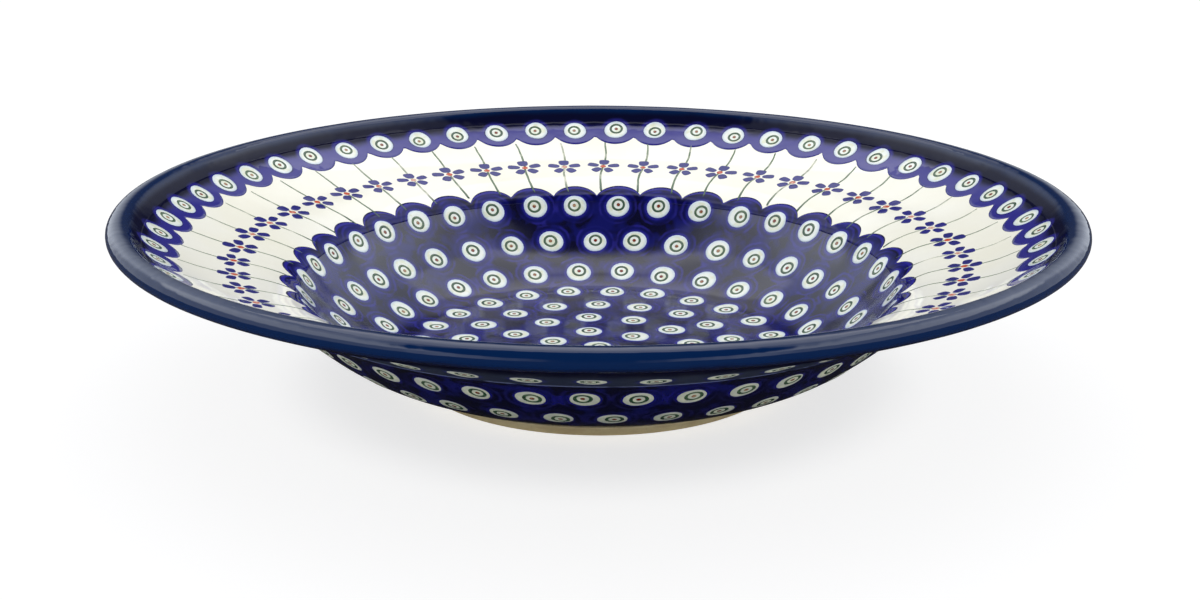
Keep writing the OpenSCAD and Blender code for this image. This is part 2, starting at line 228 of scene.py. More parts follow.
class Section:
    """The glazed surface from the middle of the floor, over the lip, to the foot."""

    def __init__(self, sizes, slopes):
        edge, crest, back = sizes.diameter / 2, sizes.height, math.pi
        reach = sizes.lip_radius
        middle = edge - reach
        lip_in = (middle - reach * math.sin(slopes.lip_inside),
                  crest - reach * (1 - math.cos(slopes.lip_inside)))
        end = math.atan(reach / sizes.lip_half * math.tan(slopes.lip_outside))
        lip_out = (middle + reach * math.sin(end), crest - sizes.lip_half * (1 + math.cos(end)))
        crown = (sizes.steep_radius + sizes.crown * math.cos(slopes.steep),
                 sizes.steep_height + sizes.crown * math.sin(slopes.steep), slopes.crown)
        rim = (edge - sizes.rim_width, crest - sizes.rim_drop, slopes.rim)
        crease = (sizes.crease_radius, sizes.crease_height, back + slopes.crease)
        self.points, self.marks = [], {}
        self.stretches("well", [
            (0, sizes.floor_height, 0),
            (sizes.floor_radius, sizes.floor_height + sizes.floor_rise, slopes.floor),
            (sizes.cove_radius, sizes.cove_height, slopes.cove),
            (sizes.wall_radius, sizes.wall_height, slopes.wall),
            (sizes.steep_radius, sizes.steep_height, slopes.steep), crown])
        self.stretches("flange", [
            crown, (sizes.edge_radius, sizes.edge_height, slopes.edge),
            (sizes.edge_radius + sizes.flat_width, sizes.flat_height, slopes.flat),
            (edge - sizes.eye_row_width, crest - sizes.eye_row_drop, slopes.eye_row), rim])
        self.stretches("lip", [rim, (*lip_in, slopes.lip_inside)])
        self.round_lip(middle, crest, reach, sizes.lip_half, slopes.lip_inside, end)
        self.stretches("under", [
            (*lip_out, back + slopes.lip_outside),
            (edge - sizes.under_width, crest - sizes.under_drop, back + slopes.under),
            (sizes.under_row_radius, sizes.under_row_height, back + slopes.under_row), crease])
        self.stretches("outside", [
            crease, (sizes.high_radius, sizes.high_height, back + slopes.high),
            (sizes.low_radius, sizes.low_height, back + slopes.low),
            (sizes.foot_top_radius, sizes.foot_height, back + slopes.foot)])
        self.points.append((sizes.foot_top_radius, sizes.foot_height))
        self.lengths = [0.0]
        for (r0, z0), (r1, z1) in zip(self.points, self.points[1:]):
            self.lengths.append(self.lengths[-1] + math.hypot(r1 - r0, z1 - z0))
        self.marks = {name: self.lengths[i] for name, i in self.marks.items()}
        self.marks["foot"] = self.lengths[-1]

    def stretches(self, zone, stations):
        """Adds smooth stretches through the stations and marks where the zone begins."""
        self.marks[zone] = len(self.points)
        for start, end in zip(stations, stations[1:]):
            self.points.extend(hermite(start, end))

    def round_lip(self, middle, crest, reach, outer_half, inside, end, steps=48):
        """Adds the round of the lip, a circle inside its crest and an ellipse outside it."""
        for i in range(steps):
            turn = math.pi / 2 + inside - (math.pi + inside - end) * i / steps
            half = reach if turn > math.pi / 2 else outer_half
            self.points.append((middle + reach * math.cos(turn),
                                crest - half * (1 - math.sin(turn))))

    def inset(self, depth):
        """The section's points, moved a depth into the clay."""
        moved = []
        last = len(self.points) - 1
        for i, (radius, z) in enumerate(self.points):
            (r0, z0), (r1, z1) = self.points[max(i - 1, 0)], self.points[min(i + 1, last)]
            size = math.hypot(r1 - r0, z1 - z0)
            moved.append((radius + depth * (z1 - z0) / size, z - depth * (r1 - r0) / size))
        moved[0] = (0.0, moved[0][1])
        return moved

    def along(self, radius, outside=False):
        """Length along the section at which it reaches a radius, inside or outside."""
        spans = list(zip(self.points, self.points[1:], self.lengths))
        for (r0, z0), (r1, z1), start in (reversed(spans) if outside else spans):
            if min(r0, r1) <= radius < max(r0, r1):
                return start + (radius - r0) / (r1 - r0) * math.hypot(r1 - r0, z1 - z0)
        raise ValueError(f"the section doesn't reach a radius of {radius}")

    def at(self, where):
        """Radius, height and direction of the section at a length along it."""
        for i in range(len(self.points) - 1):
            if self.lengths[i + 1] >= where:
                break
        (r0, z0), (r1, z1) = self.points[i], self.points[i + 1]
        t = (where - self.lengths[i]) / (self.lengths[i + 1] - self.lengths[i])
        return r0 + t * (r1 - r0), z0 + t * (z1 - z0), math.atan2(z1 - z0, r1 - r0)


class Graph:
    """Writes a node tree: adds nodes, sets their sockets and links them."""

    def __init__(self, tree):
        self.tree = tree

    def add(self, kind, sockets=None, **settings):
        """Adds a node. Sockets maps a socket's name or number to a value or an output."""
        node = self.tree.nodes.new(kind)
        node.location = (180 * (len(self.tree.nodes) % 12), -220 * (len(self.tree.nodes) // 12))
        for name, value in settings.items():
            setattr(node, name, value)
        self.feed(node, sockets or {})
        return node

    def feed(self, node, sockets):
        """Gives a node's sockets, by name or number, a value or another node's output each."""
        for name, value in sockets.items():
            if isinstance(value, bpy.types.NodeSocket):
                self.tree.links.new(value, node.inputs[name])
            else:
                node.inputs[name].default_value = value

    def maths(self, operation, *values):
        """A Math node's output."""
        return self.add("ShaderNodeMath", dict(enumerate(values)), operation=operation).outputs[0]

    def vector(self, operation, *values):
        """A Vector Math node's vector output."""
        node = self.add("ShaderNodeVectorMath", dict(enumerate(values)), operation=operation)
        return node.outputs["Vector"]

    def ramp(self, value, low, high, start=0.0, end=1.0):
        """A value taken smoothly from one range to another."""
        node = self.add("ShaderNodeMapRange", {
            "Value": value, "From Min": low, "From Max": high, "To Min": start, "To Max": end},
            interpolation_type="SMOOTHSTEP")
        return node.outputs["Result"]

    def blend(self, share, first, second):
        """A mix of two colours."""
        node = self.add("ShaderNodeMix", {0: share, 6: first, 7: second}, data_type="RGBA")
        return node.outputs[2]

    def scaled(self, vector, factor):
        """A vector times a number."""
        node = self.add("ShaderNodeVectorMath", {0: vector, "Scale": factor}, operation="SCALE")
        return node.outputs["Vector"]

    def measure(self, operation, *vectors):
        """A Vector Math node's number, such as a length or a dot product."""
        node = self.add("ShaderNodeVectorMath", dict(enumerate(vectors)), operation=operation)
        return node.outputs["Value"]

    def combine(self, x, y, z):
        """A vector from its three numbers."""
        return self.add("ShaderNodeCombineXYZ", {0: x, 1: y, 2: z}).outputs[0]

    def store(self, geometry, name, value):
        """The geometry with a number stored on each of its points."""
        return self.add("GeometryNodeStoreNamedAttribute", {
            "Geometry": geometry, "Name": name, "Value": value},
            data_type="FLOAT", domain="POINT").outputs[0]

    def from_axis(self, place):
        """How far a place is from the plate's axis."""
        return self.measure("LENGTH", self.vector("MULTIPLY", place, (1, 1, 0)))

    def attribute(self, name):
        """A number stored on the mesh, read in a Geometry Nodes tree."""
        return self.add("GeometryNodeInputNamedAttribute", {"Name": name},
                        data_type="FLOAT").outputs["Attribute"]

    def painted(self, name):
        """A number stored on the mesh, read in a material."""
        return self.add("ShaderNodeAttribute", attribute_name=name).outputs["Fac"]

    def noise(self, place, size, detail=2.0, seed=0.0):
        """A noise value whose blotches are about one size, in metres."""
        moved = self.vector("ADD", place, (seed, seed * 0.7, seed * 1.3))
        return self.add("ShaderNodeTexNoise", {
            "Vector": moved, "Scale": 1 / size, "Detail": detail}).outputs[0]

    def blotches(self, place, size, seed, low, high, start=0.0, end=1.0, detail=2.0):
        """Blotches of about one size: a noise taken smoothly from one range to another."""
        return self.ramp(self.noise(place, size, detail, seed), low, high, start, end)

    def waver(self, place, size, seed):
        """An uneven value from -0.5 to 0.5."""
        return self.maths("SUBTRACT", self.noise(place, size, 2.0, seed), 0.5)


def geometry_tree(name, inputs):
    """An empty Geometry Nodes tree with named inputs; gives its graph and its input sockets."""
    tree = bpy.data.node_groups.new(name, "GeometryNodeTree")
    tree.interface.new_socket("Geometry", in_out="INPUT", socket_type="NodeSocketGeometry")
    for label, (kind, subtype, default) in inputs.items():
        item = tree.interface.new_socket(label, in_out="INPUT", socket_type=kind)
        if subtype:
            item.subtype = subtype
        if default is not None:
            item.default_value = default
    tree.interface.new_socket("Geometry", in_out="OUTPUT", socket_type="NodeSocketGeometry")
    graph = Graph(tree)
    return graph, graph.add("NodeGroupInput").outputs


FLOAT, INTEGER = "NodeSocketFloat", "NodeSocketInt"
OBJECT, MATERIAL = "NodeSocketObject", "NodeSocketMaterial"
WAVE_INPUTS = {
    "Wave depth": (FLOAT, "DISTANCE", 0.12 * MM),
    "Wave size": (FLOAT, "DISTANCE", 22 * MM),
}


def laying_tree():
    """Lays flat geometry on the plate, at a length along the section, a turn and a lift. Its
    wave is a slow unevenness that only sinks the surface."""
    graph, given = geometry_tree("Lay on plate", {
        "Section": (OBJECT, None, None), "Along": (FLOAT, None, 0.0),
        "Angle": (FLOAT, None, 0.0), "Lift": (FLOAT, None, 0.0), **WAVE_INPUTS})
    curve = graph.add("GeometryNodeObjectInfo", {"Object": given["Section"]})
    sample = graph.add("GeometryNodeSampleCurve", {
        "Curves": curve.outputs["Geometry"], "Length": given["Along"]},
        mode="LENGTH", data_type="FLOAT", use_all_curves=False)
    out = graph.vector("CROSS_PRODUCT", sample.outputs["Tangent"], (0, 1, 0))

    def turned(vector):
        return graph.add("ShaderNodeVectorRotate", {
            "Vector": vector, "Angle": given["Angle"]}, rotation_type="Z_AXIS").outputs[0]

    place = turned(sample.outputs["Position"])
    wave = graph.add("ShaderNodeTexNoise", {
        "Vector": place, "Scale": graph.maths("DIVIDE", 1.0, given["Wave size"]),
        "Detail": 1.0}).outputs[0]
    depth = graph.maths("MULTIPLY", graph.maths("SUBTRACT", wave, 1.0), given["Wave depth"])
    lift = graph.maths("ADD", given["Lift"], depth)
    lifted = graph.vector("ADD", place, graph.scaled(turned(out), lift))
    laid = graph.add("GeometryNodeSetPosition", {
        "Geometry": given["Geometry"], "Position": lifted})
    graph.add("NodeGroupOutput", {"Geometry": laid.outputs["Geometry"]})
    return graph.tree


def laid_on_plate(graph, laying, given, geometry, along, angle, lift):
    """The group that lays geometry on the plate, with its usual inputs passed on."""
    return graph.add("GeometryNodeGroup", {
        "Geometry": geometry, "Section": given["Section"], "Along": along, "Angle": angle,
        "Lift": lift, "Wave depth": given["Wave depth"], "Wave size": given["Wave size"]},
        node_tree=laying).outputs["Geometry"]


def coat_tree(laying):
    """A flat coat or band laid on the plate, closed round the turn, that knows how far each
    of its points is from the nearest eye."""
    graph, given = geometry_tree("Glaze coat", {
        "Section": (OBJECT, None, None), "Eyes": (OBJECT, None, None),
        "Material": (MATERIAL, None, None), **WAVE_INPUTS})
    position = graph.add("GeometryNodeInputPosition").outputs[0]
    flat = graph.add("ShaderNodeSeparateXYZ", {0: position})
    laid = laid_on_plate(graph, laying, given, given["Geometry"], flat.outputs[0],
                         flat.outputs[1], flat.outputs[2])
    closed = graph.add("GeometryNodeMergeByDistance", {"Geometry": laid, "Distance": TOUCHING})
    eyes = graph.add("GeometryNodeObjectInfo", {"Object": given["Eyes"]})
    gap = graph.add("GeometryNodeProximity", {0: eyes.outputs["Geometry"]},
                    target_element="FACES").outputs["Distance"]
    kept = graph.store(closed.outputs[0], "eye_gap", gap)
    share = graph.attribute("edge_share")
    inside = graph.maths("MULTIPLY", share, graph.maths("SUBTRACT", 1.0, share))
    smooth = graph.add("GeometryNodeSetShadeSmooth", {0: kept, "Selection": inside})
    real = graph.add("GeometryNodeRealizeInstances", {0: smooth.outputs[0]})
    done = graph.add("GeometryNodeSetMaterial", {
        "Geometry": real.outputs[0], "Material": given["Material"]})
    graph.add("NodeGroupOutput", {0: done.outputs[0]})
    return graph.tree


ROW_INPUTS = {
    "Stamp": (OBJECT, None, None), "Section": (OBJECT, None, None),
    "Material": (MATERIAL, None, None), "Count": (INTEGER, None, 1),
    "Row distance": (FLOAT, "DISTANCE", 0.0), "Cone distance": (FLOAT, "DISTANCE", 0.0),
    "Side": (FLOAT, None, 1.0), "Spread": (FLOAT, None, 1.0), "Turn": (FLOAT, "ANGLE", 0.0),
    "Row jitter": (FLOAT, "DISTANCE", 0.0), "Own jitter": (FLOAT, "DISTANCE", 0.0),
    "Turn jitter": (FLOAT, "ANGLE", 0.0), "Size jitter": (FLOAT, None, 0.0),
    "Wobble": (FLOAT, "DISTANCE", 0.0), "Lift": (FLOAT, "DISTANCE", 0.0),
    "Row seed": (INTEGER, None, 1), "Own seed": (INTEGER, None, 2), **WAVE_INPUTS}


def row_tree(laying):
    """One row of a hand stamp round the plate, added to the rows that are already there. The
    flat stamp is bent round its cone, so that it isn't stretched where it is laid. Every draw
    of random values has a shift of its own to its seed."""
    graph, given = geometry_tree("Stamp row", ROW_INPUTS)
    maths = graph.maths
    index = graph.add("GeometryNodeInputIndex").outputs[0]

    def drawn(kind, sockets, output, seed, shift):
        """A random value for each stamp of the row, from -1 to 1."""
        node = graph.add("FunctionNodeRandomValue", {
            **sockets, "ID": index, "Seed": maths("ADD", seed, shift)}, data_type=kind)
        return node.outputs[output]

    def chance(spread, seed, shift):
        return maths("MULTIPLY", drawn("FLOAT", {2: -1.0, 3: 1.0}, 1, seed, shift), spread)

    def moved(spread, seed, shift):
        corners = {0: (-1, -1, -1), 1: (1, 1, 1)}
        return graph.scaled(drawn("FLOAT_VECTOR", corners, 0, seed, shift), spread)

    place = graph.vector("ADD", moved(given["Row jitter"], given["Row seed"], 0),
                         moved(given["Own jitter"], given["Own seed"], 7))
    place = graph.vector("MULTIPLY", place, (1, 1, 0))
    points = graph.add("GeometryNodePoints", {"Count": given["Count"], "Position": place})
    turn = maths("ADD", given["Turn"], maths("MULTIPLY", index, maths(
        "DIVIDE", ROUND, given["Count"])))
    named = graph.store(points.outputs[0], "row_angle", turn)
    named = graph.store(named, "row_luck", chance(1.0, given["Own seed"], 31))
    stamp = graph.add("GeometryNodeObjectInfo", {"Object": given["Stamp"]})
    size = maths("ADD", 1.0, chance(given["Size jitter"], given["Row seed"], 3))
    spin = graph.combine(0.0, 0.0, chance(given["Turn jitter"], given["Row seed"], 11))
    rotation = graph.add("FunctionNodeEulerToRotation", {0: spin}).outputs[0]
    scale = graph.combine(size, size, 1.0)
    stamped = graph.add("GeometryNodeInstanceOnPoints", {
        "Points": named, "Instance": stamp.outputs["Geometry"],
        "Rotation": rotation, "Scale": scale})
    real = graph.add("GeometryNodeRealizeInstances", {0: stamped.outputs[0]})
    position = graph.add("GeometryNodeInputPosition").outputs[0]
    own_noise_shift, outline_noise_scale = 3.0, 260.0
    shift = maths("MULTIPLY", graph.attribute("row_luck"), own_noise_shift)
    shuffled = graph.vector("ADD", position, graph.combine(0.0, 0.0, shift))
    waver = graph.add("ShaderNodeTexNoise", {
        "Vector": shuffled, "Scale": outline_noise_scale, "Detail": 0.0}).outputs[1]
    waver = graph.vector("MULTIPLY", graph.vector("SUBTRACT", waver, (0.5, 0.5, 0.5)), (2, 2, 0))
    uneven = graph.add("GeometryNodeSetPosition", {
        "Geometry": real.outputs[0], "Offset": graph.scaled(waver, given["Wobble"])})
    flat = graph.add("ShaderNodeSeparateXYZ", {0: position})
    reach = maths("MULTIPLY", given["Side"], maths("ADD", given["Cone distance"], flat.outputs[0]))
    far = maths("MULTIPLY", given["Side"], maths("SQRT", maths(
        "ADD", maths("MULTIPLY", reach, reach),
        maths("MULTIPLY", flat.outputs[1], flat.outputs[1]))))
    along = maths("ADD", given["Row distance"], maths("SUBTRACT", far, given["Cone distance"]))
    aside = maths("MULTIPLY", maths("ARCTAN2", flat.outputs[1], reach), given["Spread"])
    angle = maths("ADD", graph.attribute("row_angle"), aside)
    lift = maths("ADD", flat.outputs[2], given["Lift"])
    laid = laid_on_plate(graph, laying, given, uneven.outputs[0], along, angle, lift)
    smooth = graph.add("GeometryNodeSetShadeSmooth", {0: laid})
    inked = graph.add("GeometryNodeSetMaterial", {
        "Geometry": smooth.outputs[0], "Material": given["Material"]})
    joined = graph.add("GeometryNodeJoinGeometry")
    for part in (inked.outputs[0], given["Geometry"]):
        graph.tree.links.new(part, joined.inputs[0])
    graph.add("NodeGroupOutput", {0: joined.outputs[0]})
    return graph.tree


def new_mesh(name, corners, faces, values=None):
    """A mesh object from corners and faces, with float attributes on its points."""
    mesh = bpy.data.meshes.new(name)
    mesh.from_pydata(corners, [], faces)
    for label, numbers in (values or {}).items():
        mesh.attributes.new(label, "FLOAT", "POINT").data.foreach_set("value", numbers)
    made = bpy.data.objects.new(name, mesh)
    bpy.context.scene.collection.objects.link(made)
    return made


def stamp_mesh(name, shapes):
    """A flat stamp of one or more closed dabs. A shape is (outline, top, seat, rings), its
    outline a list of (x, y) round its middle, and rings the shares that its top is cut at."""
    corners, faces, middles = [], [], []
    for outline, top, seat, rings in shapes:
        n = len(outline)
        cx = sum(x for x, y in outline) / n
        cy = sum(y for x, y in outline) / n
        start = len(corners)
        corners.append((cx, cy, top))
        middles.append(0.0)
        # The top, then its lower edge, then the underside with a ring half way in
        levels = [(share, top) for share in rings]
        levels += [(1.0, top * 0.55), (1.0, -seat), (0.5, -seat)]
        for share, z in levels:
            corners.extend((cx + (x - cx) * share, cy + (y - cy) * share, z) for x, y in outline)
            middles.extend([share] * n)
        first = start + 1
        faces.extend((start, first + i, first + (i + 1) % n) for i in range(n))
        for level in range(len(levels) - 1):
            a, b = first + level * n, first + (level + 1) * n
            faces.extend((a + i, b + i, b + (i + 1) % n, a + (i + 1) % n) for i in range(n))
        last = first + (len(levels) - 1) * n
        corners.append((cx, cy, -seat))
        middles.append(0.0)
        faces.extend((last + n, last + (i + 1) % n, last + i) for i in range(n))
    return new_mesh(name, corners, faces, {"from_middle": middles})


def hoop_mesh(name, outer, inner, top, seat, steps=20):
    """A flat stamp in the form of a ring."""
    corners, faces, middles = [], [], []
    levels = [(inner, -seat), (inner, top * 0.6), ((inner + outer) / 2, top), (outer, top * 0.6),
              (outer, -seat)]
    for radius, z in levels:
        for i in range(steps):
            turn = ROUND * i / steps
            corners.append((radius * math.cos(turn), radius * math.sin(turn), z))
            middles.append((radius - inner) / (outer - inner))
    for level in range(len(levels)):
        a, b = level * steps, (level + 1) % len(levels) * steps
        faces.extend((a + i, b + i, b + (i + 1) % steps, a + (i + 1) % steps)
                     for i in range(steps))
    return new_mesh(name, corners, faces, {"from_middle": middles})


def circle(radius, steps):
    """Points on a circle."""
    turns = [ROUND * i / steps for i in range(steps)]
    return [(radius * math.cos(turn), radius * math.sin(turn)) for turn in turns]


def petal_outline(distance, size, width, turn, steps=14):
    """A blunt petal whose middle lies at a distance, narrower towards the heart."""
    tip_power, side_power, widening = 0.75, 0.62, 0.16
    outline = []
    for i in range(steps):
        a = ROUND * i / steps
        c, s = math.cos(a), math.sin(a)
        x = distance + math.copysign(abs(c) ** tip_power, c) * size / 2
        y = math.copysign(abs(s) ** side_power, s) * (1 + widening * c) * width / 2
        outline.append((x * math.cos(turn) - y * math.sin(turn),
                        x * math.sin(turn) + y * math.cos(turn)))
    return outline


def strip_mesh(name, near, far, across, rows, top, seat, under_every=1):
    """A flat coat from near(angle) to far(angle), lengths along the section, all the way
    round. Its under face may have fewer rows than its upper one."""
    corners, faces, edges = [], [], []
    turns = [ROUND * i / across for i in range(across + 1)]
    bounds = [(near(turn % ROUND), far(turn % ROUND)) for turn in turns]

    def sheet(shares, level):
        start = len(corners)
        for share in shares:
            for turn, (low, high) in zip(turns, bounds):
                corners.append((low + (high - low) * share, turn, level))
                edges.append(share)
        return start

    upper = [j / rows for j in range(rows + 1)]
    lower = upper[:-1:under_every] + [1.0]
    a, b = sheet(upper, top), sheet(lower, -seat)
    step = across + 1
    for j in range(rows):
        faces.extend((a + j * step + i, a + (j + 1) * step + i, a + (j + 1) * step + i + 1,
                      a + j * step + i + 1) for i in range(across))
    for j in range(len(lower) - 1):
        faces.extend((b + j * step + i, b + j * step + i + 1, b + (j + 1) * step + i + 1,
                      b + (j + 1) * step + i) for i in range(across))
    far_a, far_b = a + rows * step, b + (len(lower) - 1) * step
    if max(low for low, high in bounds) > 0:
        faces.extend((b + i, a + i, a + i + 1, b + i + 1) for i in range(across))
    faces.extend((far_a + i, far_b + i, far_b + i + 1, far_a + i + 1) for i in range(across))
    return new_mesh(name, corners, faces, {"edge_share": edges})


def lathe_mesh(name, outline, across, wander):
    """A closed outline of (radius, height) turned round the axis, wandering a little."""
    corners, faces = [], []
    n = len(outline)
    for i in range(across):
        turn = ROUND * i / across
        for k, (radius, z) in enumerate(outline):
            # Two slow waves round the turn, and half as deep on the table
            drift = wander * (math.sin(3 * turn + 1.3) + 0.6 * math.sin(7 * turn + 0.2 * k)) / 2
            radius = radius + (drift if 0 < z else drift / 2)
            corners.append((radius * math.cos(turn), radius * math.sin(turn), z))
    for i in range(across):
        for k in range(n):
            a, b = i * n, (i + 1) % across * n
            faces.append((a + k, b + k, b + (k + 1) % n, a + (k + 1) % n))
    return new_mesh(name, corners, faces)


def close_poles(mesh):
    """Joins the points that a turned outline leaves on the axis."""
    form = bmesh.new()
    form.from_mesh(mesh)
    bmesh.ops.remove_doubles(form, verts=form.verts, dist=TOUCHING)
    bmesh.ops.recalc_face_normals(form, faces=form.faces)
    form.to_mesh(mesh)
    form.free()


def plain_mesh(made):
    """Turns what a piece's modifiers give into its mesh and takes the modifiers off."""
    bpy.context.view_layer.update()
    graph = bpy.context.evaluated_depsgraph_get()
    mesh = bpy.data.meshes.new_from_object(made.evaluated_get(graph),
                                           preserve_all_data_layers=True, depsgraph=graph)
    made.modifiers.clear()
    made.data = mesh
    mesh.name = made.name


def finish_piece(made, node):
    """Hands a piece to the frame: it rides on the plate and stands for a CAD node."""
    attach(made, BODY)
    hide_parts(node)


def set_inputs(modifier, values):
    """Sets a Geometry Nodes modifier's inputs by the names that its tree gives them."""
    items = {item.name: item for item in modifier.node_group.interface.items_tree
             if item.in_out == "INPUT"}
    for name, value in values.items():
        modifier[items[name].identifier] = value


class Workshop:
    """What the operators share while the plate is made."""
    section = None
    curve = None
    trees = {}
    materials = {}
    stamps = []


def prepare():
    """Makes the section, its curve and the node trees, once."""
    if Workshop.section:
        return
    scene = bpy.context.scene
    Workshop.section = Section(scene.plate_sizes, scene.plate_slopes)
    data = bpy.data.curves.new("plate_section", "CURVE")
    data.dimensions = "3D"
    spline = data.splines.new("POLY")
    spline.points.add(len(Workshop.section.points) - 1)
    for point, (radius, z) in zip(spline.points, Workshop.section.points):
        point.co = (radius, 0, z, 1)
    Workshop.curve = bpy.data.objects.new("plate_section", data)
    scene.collection.objects.link(Workshop.curve)
    laying = laying_tree()
    Workshop.trees = {"coat": coat_tree(laying), "row": row_tree(laying)}
    for make_materials in (wall_glazes, rim_glazes, pale_glazes, thin_inks, bare_clay):
        make_materials()


def stamp_rows(name, stamp, material, rows, slot, node, **common):
    """One piece made of rows of a stamp, each row a modifier of its own. The piece stands for
    a CAD node."""
    made = new_mesh(name, [], [])
    section = Workshop.section
    first_seed, seed_step = 40, 3
    for number, row in enumerate(rows):
        where = row["where"]
        radius, _, direction = section.at(where) if where > 0 else (0.0, 0.0, 0.0)
        outside = abs(direction) > math.pi / 2
        lean = math.cos(direction)
        modifier = made.modifiers.new(f"Row {number + 1}", "NODES")
        modifier.node_group = Workshop.trees["row"]
        set_inputs(modifier, {
            "Stamp": stamp, "Section": Workshop.curve, "Material": Workshop.materials[material],
            "Count": row["count"], "Row distance": where, "Cone distance": radius / lean,
            "Side": -1.0 if outside else 1.0, "Spread": 1 / abs(lean), "Turn": row["turn"],
            "Row seed": first_seed + seed_step * number + row.get("seed", 0), **common})
    plain_mesh(made)
    finish_piece(made, node)


def lay_coat(name, flat, material, eyes, node):
    """A flat coat or band, laid on the plate, that stands for a CAD node. Eyes names the piece
    that its colour goes by."""
    flat.name = name
    modifier = flat.modifiers.new("Glaze coat", "NODES")
    modifier.node_group = Workshop.trees["coat"]
    set_inputs(modifier, {"Section": Workshop.curve, "Eyes": bpy.data.objects[eyes],
                          "Material": Workshop.materials[material]})
    plain_mesh(flat)
    finish_piece(flat, node)


def keep_stamp(made):
    """Hides a stamp until all rows are made."""
    made.hide_render = True
    Workshop.stamps.append(made)
    return made


def new_material(name):
    """A material; gives it, its graph, its shader and a place on the piece."""
    material = bpy.data.materials.new(name)
    material.use_nodes = True
    graph = Graph(material.node_tree)
    place = graph.add("ShaderNodeTexCoord").outputs["Object"]
    return material, graph, material.node_tree.nodes["Principled BSDF"], place


def glazed(name, roughness=0.2, bump=0.16 * MM, bump_size=6 * MM):
    """A glossy material with a soft ripple; gives its graph, its shader and a place."""
    material, graph, shader, place = new_material(name)
    ripple = graph.noise(place, bump_size, 1.0, 3.1)
    bumps = graph.add("ShaderNodeBump", {
        "Height": ripple, "Distance": bump, "Strength": 1.0}).outputs[0]
    gloss(graph, shader, 1.0, 0.04)
    graph.feed(shader, {"Roughness": roughness, "Specular IOR Level": 0.0, "Normal": bumps,
                        "Coat Normal": bumps})
    Workshop.materials[name] = material
    return graph, shader, place


def gloss(graph, shader, weight, roughness):
    """Sets how strong and how blurred the clear coat of a glaze is."""
    graph.feed(shader, {"Coat Weight": weight, "Coat Roughness": roughness})


def rgba(name):
    """One of the plate's colours, by the name of its property."""
    return (*getattr(bpy.context.scene.plate_colours, name), 1)


def coloured(graph, shader, output):
    """Links a colour to the shader."""
    graph.feed(shader, {"Base Color": output})


def cobalt(graph, place, halo, pools, clear=3 * MM):
    """Cobalt: near black in its pools, with a thin halo and brushed scales round the eyes. No
    pool comes nearer to an eye than the clear distance. A large pools value darkens most of the
    glaze, as on the outer wall, where that near black is painted shade."""
    gap = graph.painted("eye_gap")
    pooled_and_shaded = graph.blotches(place, 9 * MM, 1.0, 0.36, 0.6, 0.0, pools)
    pooled_and_shaded = graph.maths("MULTIPLY", pooled_and_shaded, graph.ramp(gap, clear / 5, clear))
    base = graph.blend(pooled_and_shaded, rgba("cobalt"), rgba("cobalt_dark"))
    uneven = graph.maths("MULTIPLY", graph.waver(place, 4 * MM, 5.0), 1.6 * MM)
    reach = graph.maths("ADD", gap, uneven)
    near = graph.ramp(reach, 0.2 * MM, 1.3 * MM, halo, 0.0)
    scale_reach = 2.6 * MM
    off = graph.maths("ABSOLUTE", graph.maths("SUBTRACT", reach, scale_reach))
    scale = graph.ramp(off, 0.1 * MM, 0.8 * MM, 1.0, 0.0)
    mask = graph.blotches(place, 7 * MM, 19.0, 0.42, 0.6, 0.1, 0.75 * halo, 1.0)
    share = graph.maths("MAXIMUM", near, graph.maths("MULTIPLY", scale, mask))
    return graph.blend(share, base, rgba("cobalt_pale"))


def thin_edge(graph, place, base, start, end):
    """A thin pale line where the glaze runs off the crease, with gaps. Start and end are the
    shares of the coat's width between which it comes in."""
    line = graph.ramp(graph.painted("edge_share"), start, end)
    broken = graph.blotches(place, 8 * MM, 23.0, 0.36, 0.52, 0.1, 0.9)
    return graph.blend(graph.maths("MULTIPLY", line, broken), base, rgba("crease"))


def eye_row_radius():
    """Radius of the row of eyes on the flange."""
    sizes = bpy.context.scene.plate_sizes
    return sizes.diameter / 2 - sizes.eye_row_width


def band(graph, place):
    """The blue round the flange's eyes: violet in the scallops, navy towards the lip."""
    row = eye_row_radius()
    uneven = graph.waver(place, 6 * MM, 2.0)
    radius = graph.maths("ADD", graph.from_axis(place), graph.maths("MULTIPLY", uneven, 2 * MM))
    base = graph.blend(graph.ramp(radius, row - 0.2 * MM, row + 3 * MM), rgba("violet"),
                       rgba("navy_dark"))
    reach = graph.maths("ADD", graph.painted("eye_gap"),
                        graph.maths("MULTIPLY", uneven, 1.2 * MM))
    halo = graph.ramp(reach, 0.5 * MM, 2.1 * MM, 0.85, 0.0)
    edge = graph.ramp(reach, 0.1 * MM, 0.6 * MM, 0.8, 0.0)
    return graph.blend(edge, graph.blend(halo, base, rgba("violet")), rgba("violet_dark"))


def satin(graph, shader, place):
    """Less gloss where the flange's coat and the lip's run into each other."""
    low, high, least = eye_row_radius() + 1 * MM, eye_row_radius() + 5.5 * MM, 0.3
    radius = graph.from_axis(place)
    inner = graph.ramp(radius, low, low + 2 * MM, 1.0, least)
    outer = graph.ramp(radius, high, high + 3 * MM, least, 1.0)
    graph.feed(shader, {"Coat Weight": graph.maths("MAXIMUM", inner, outer)})


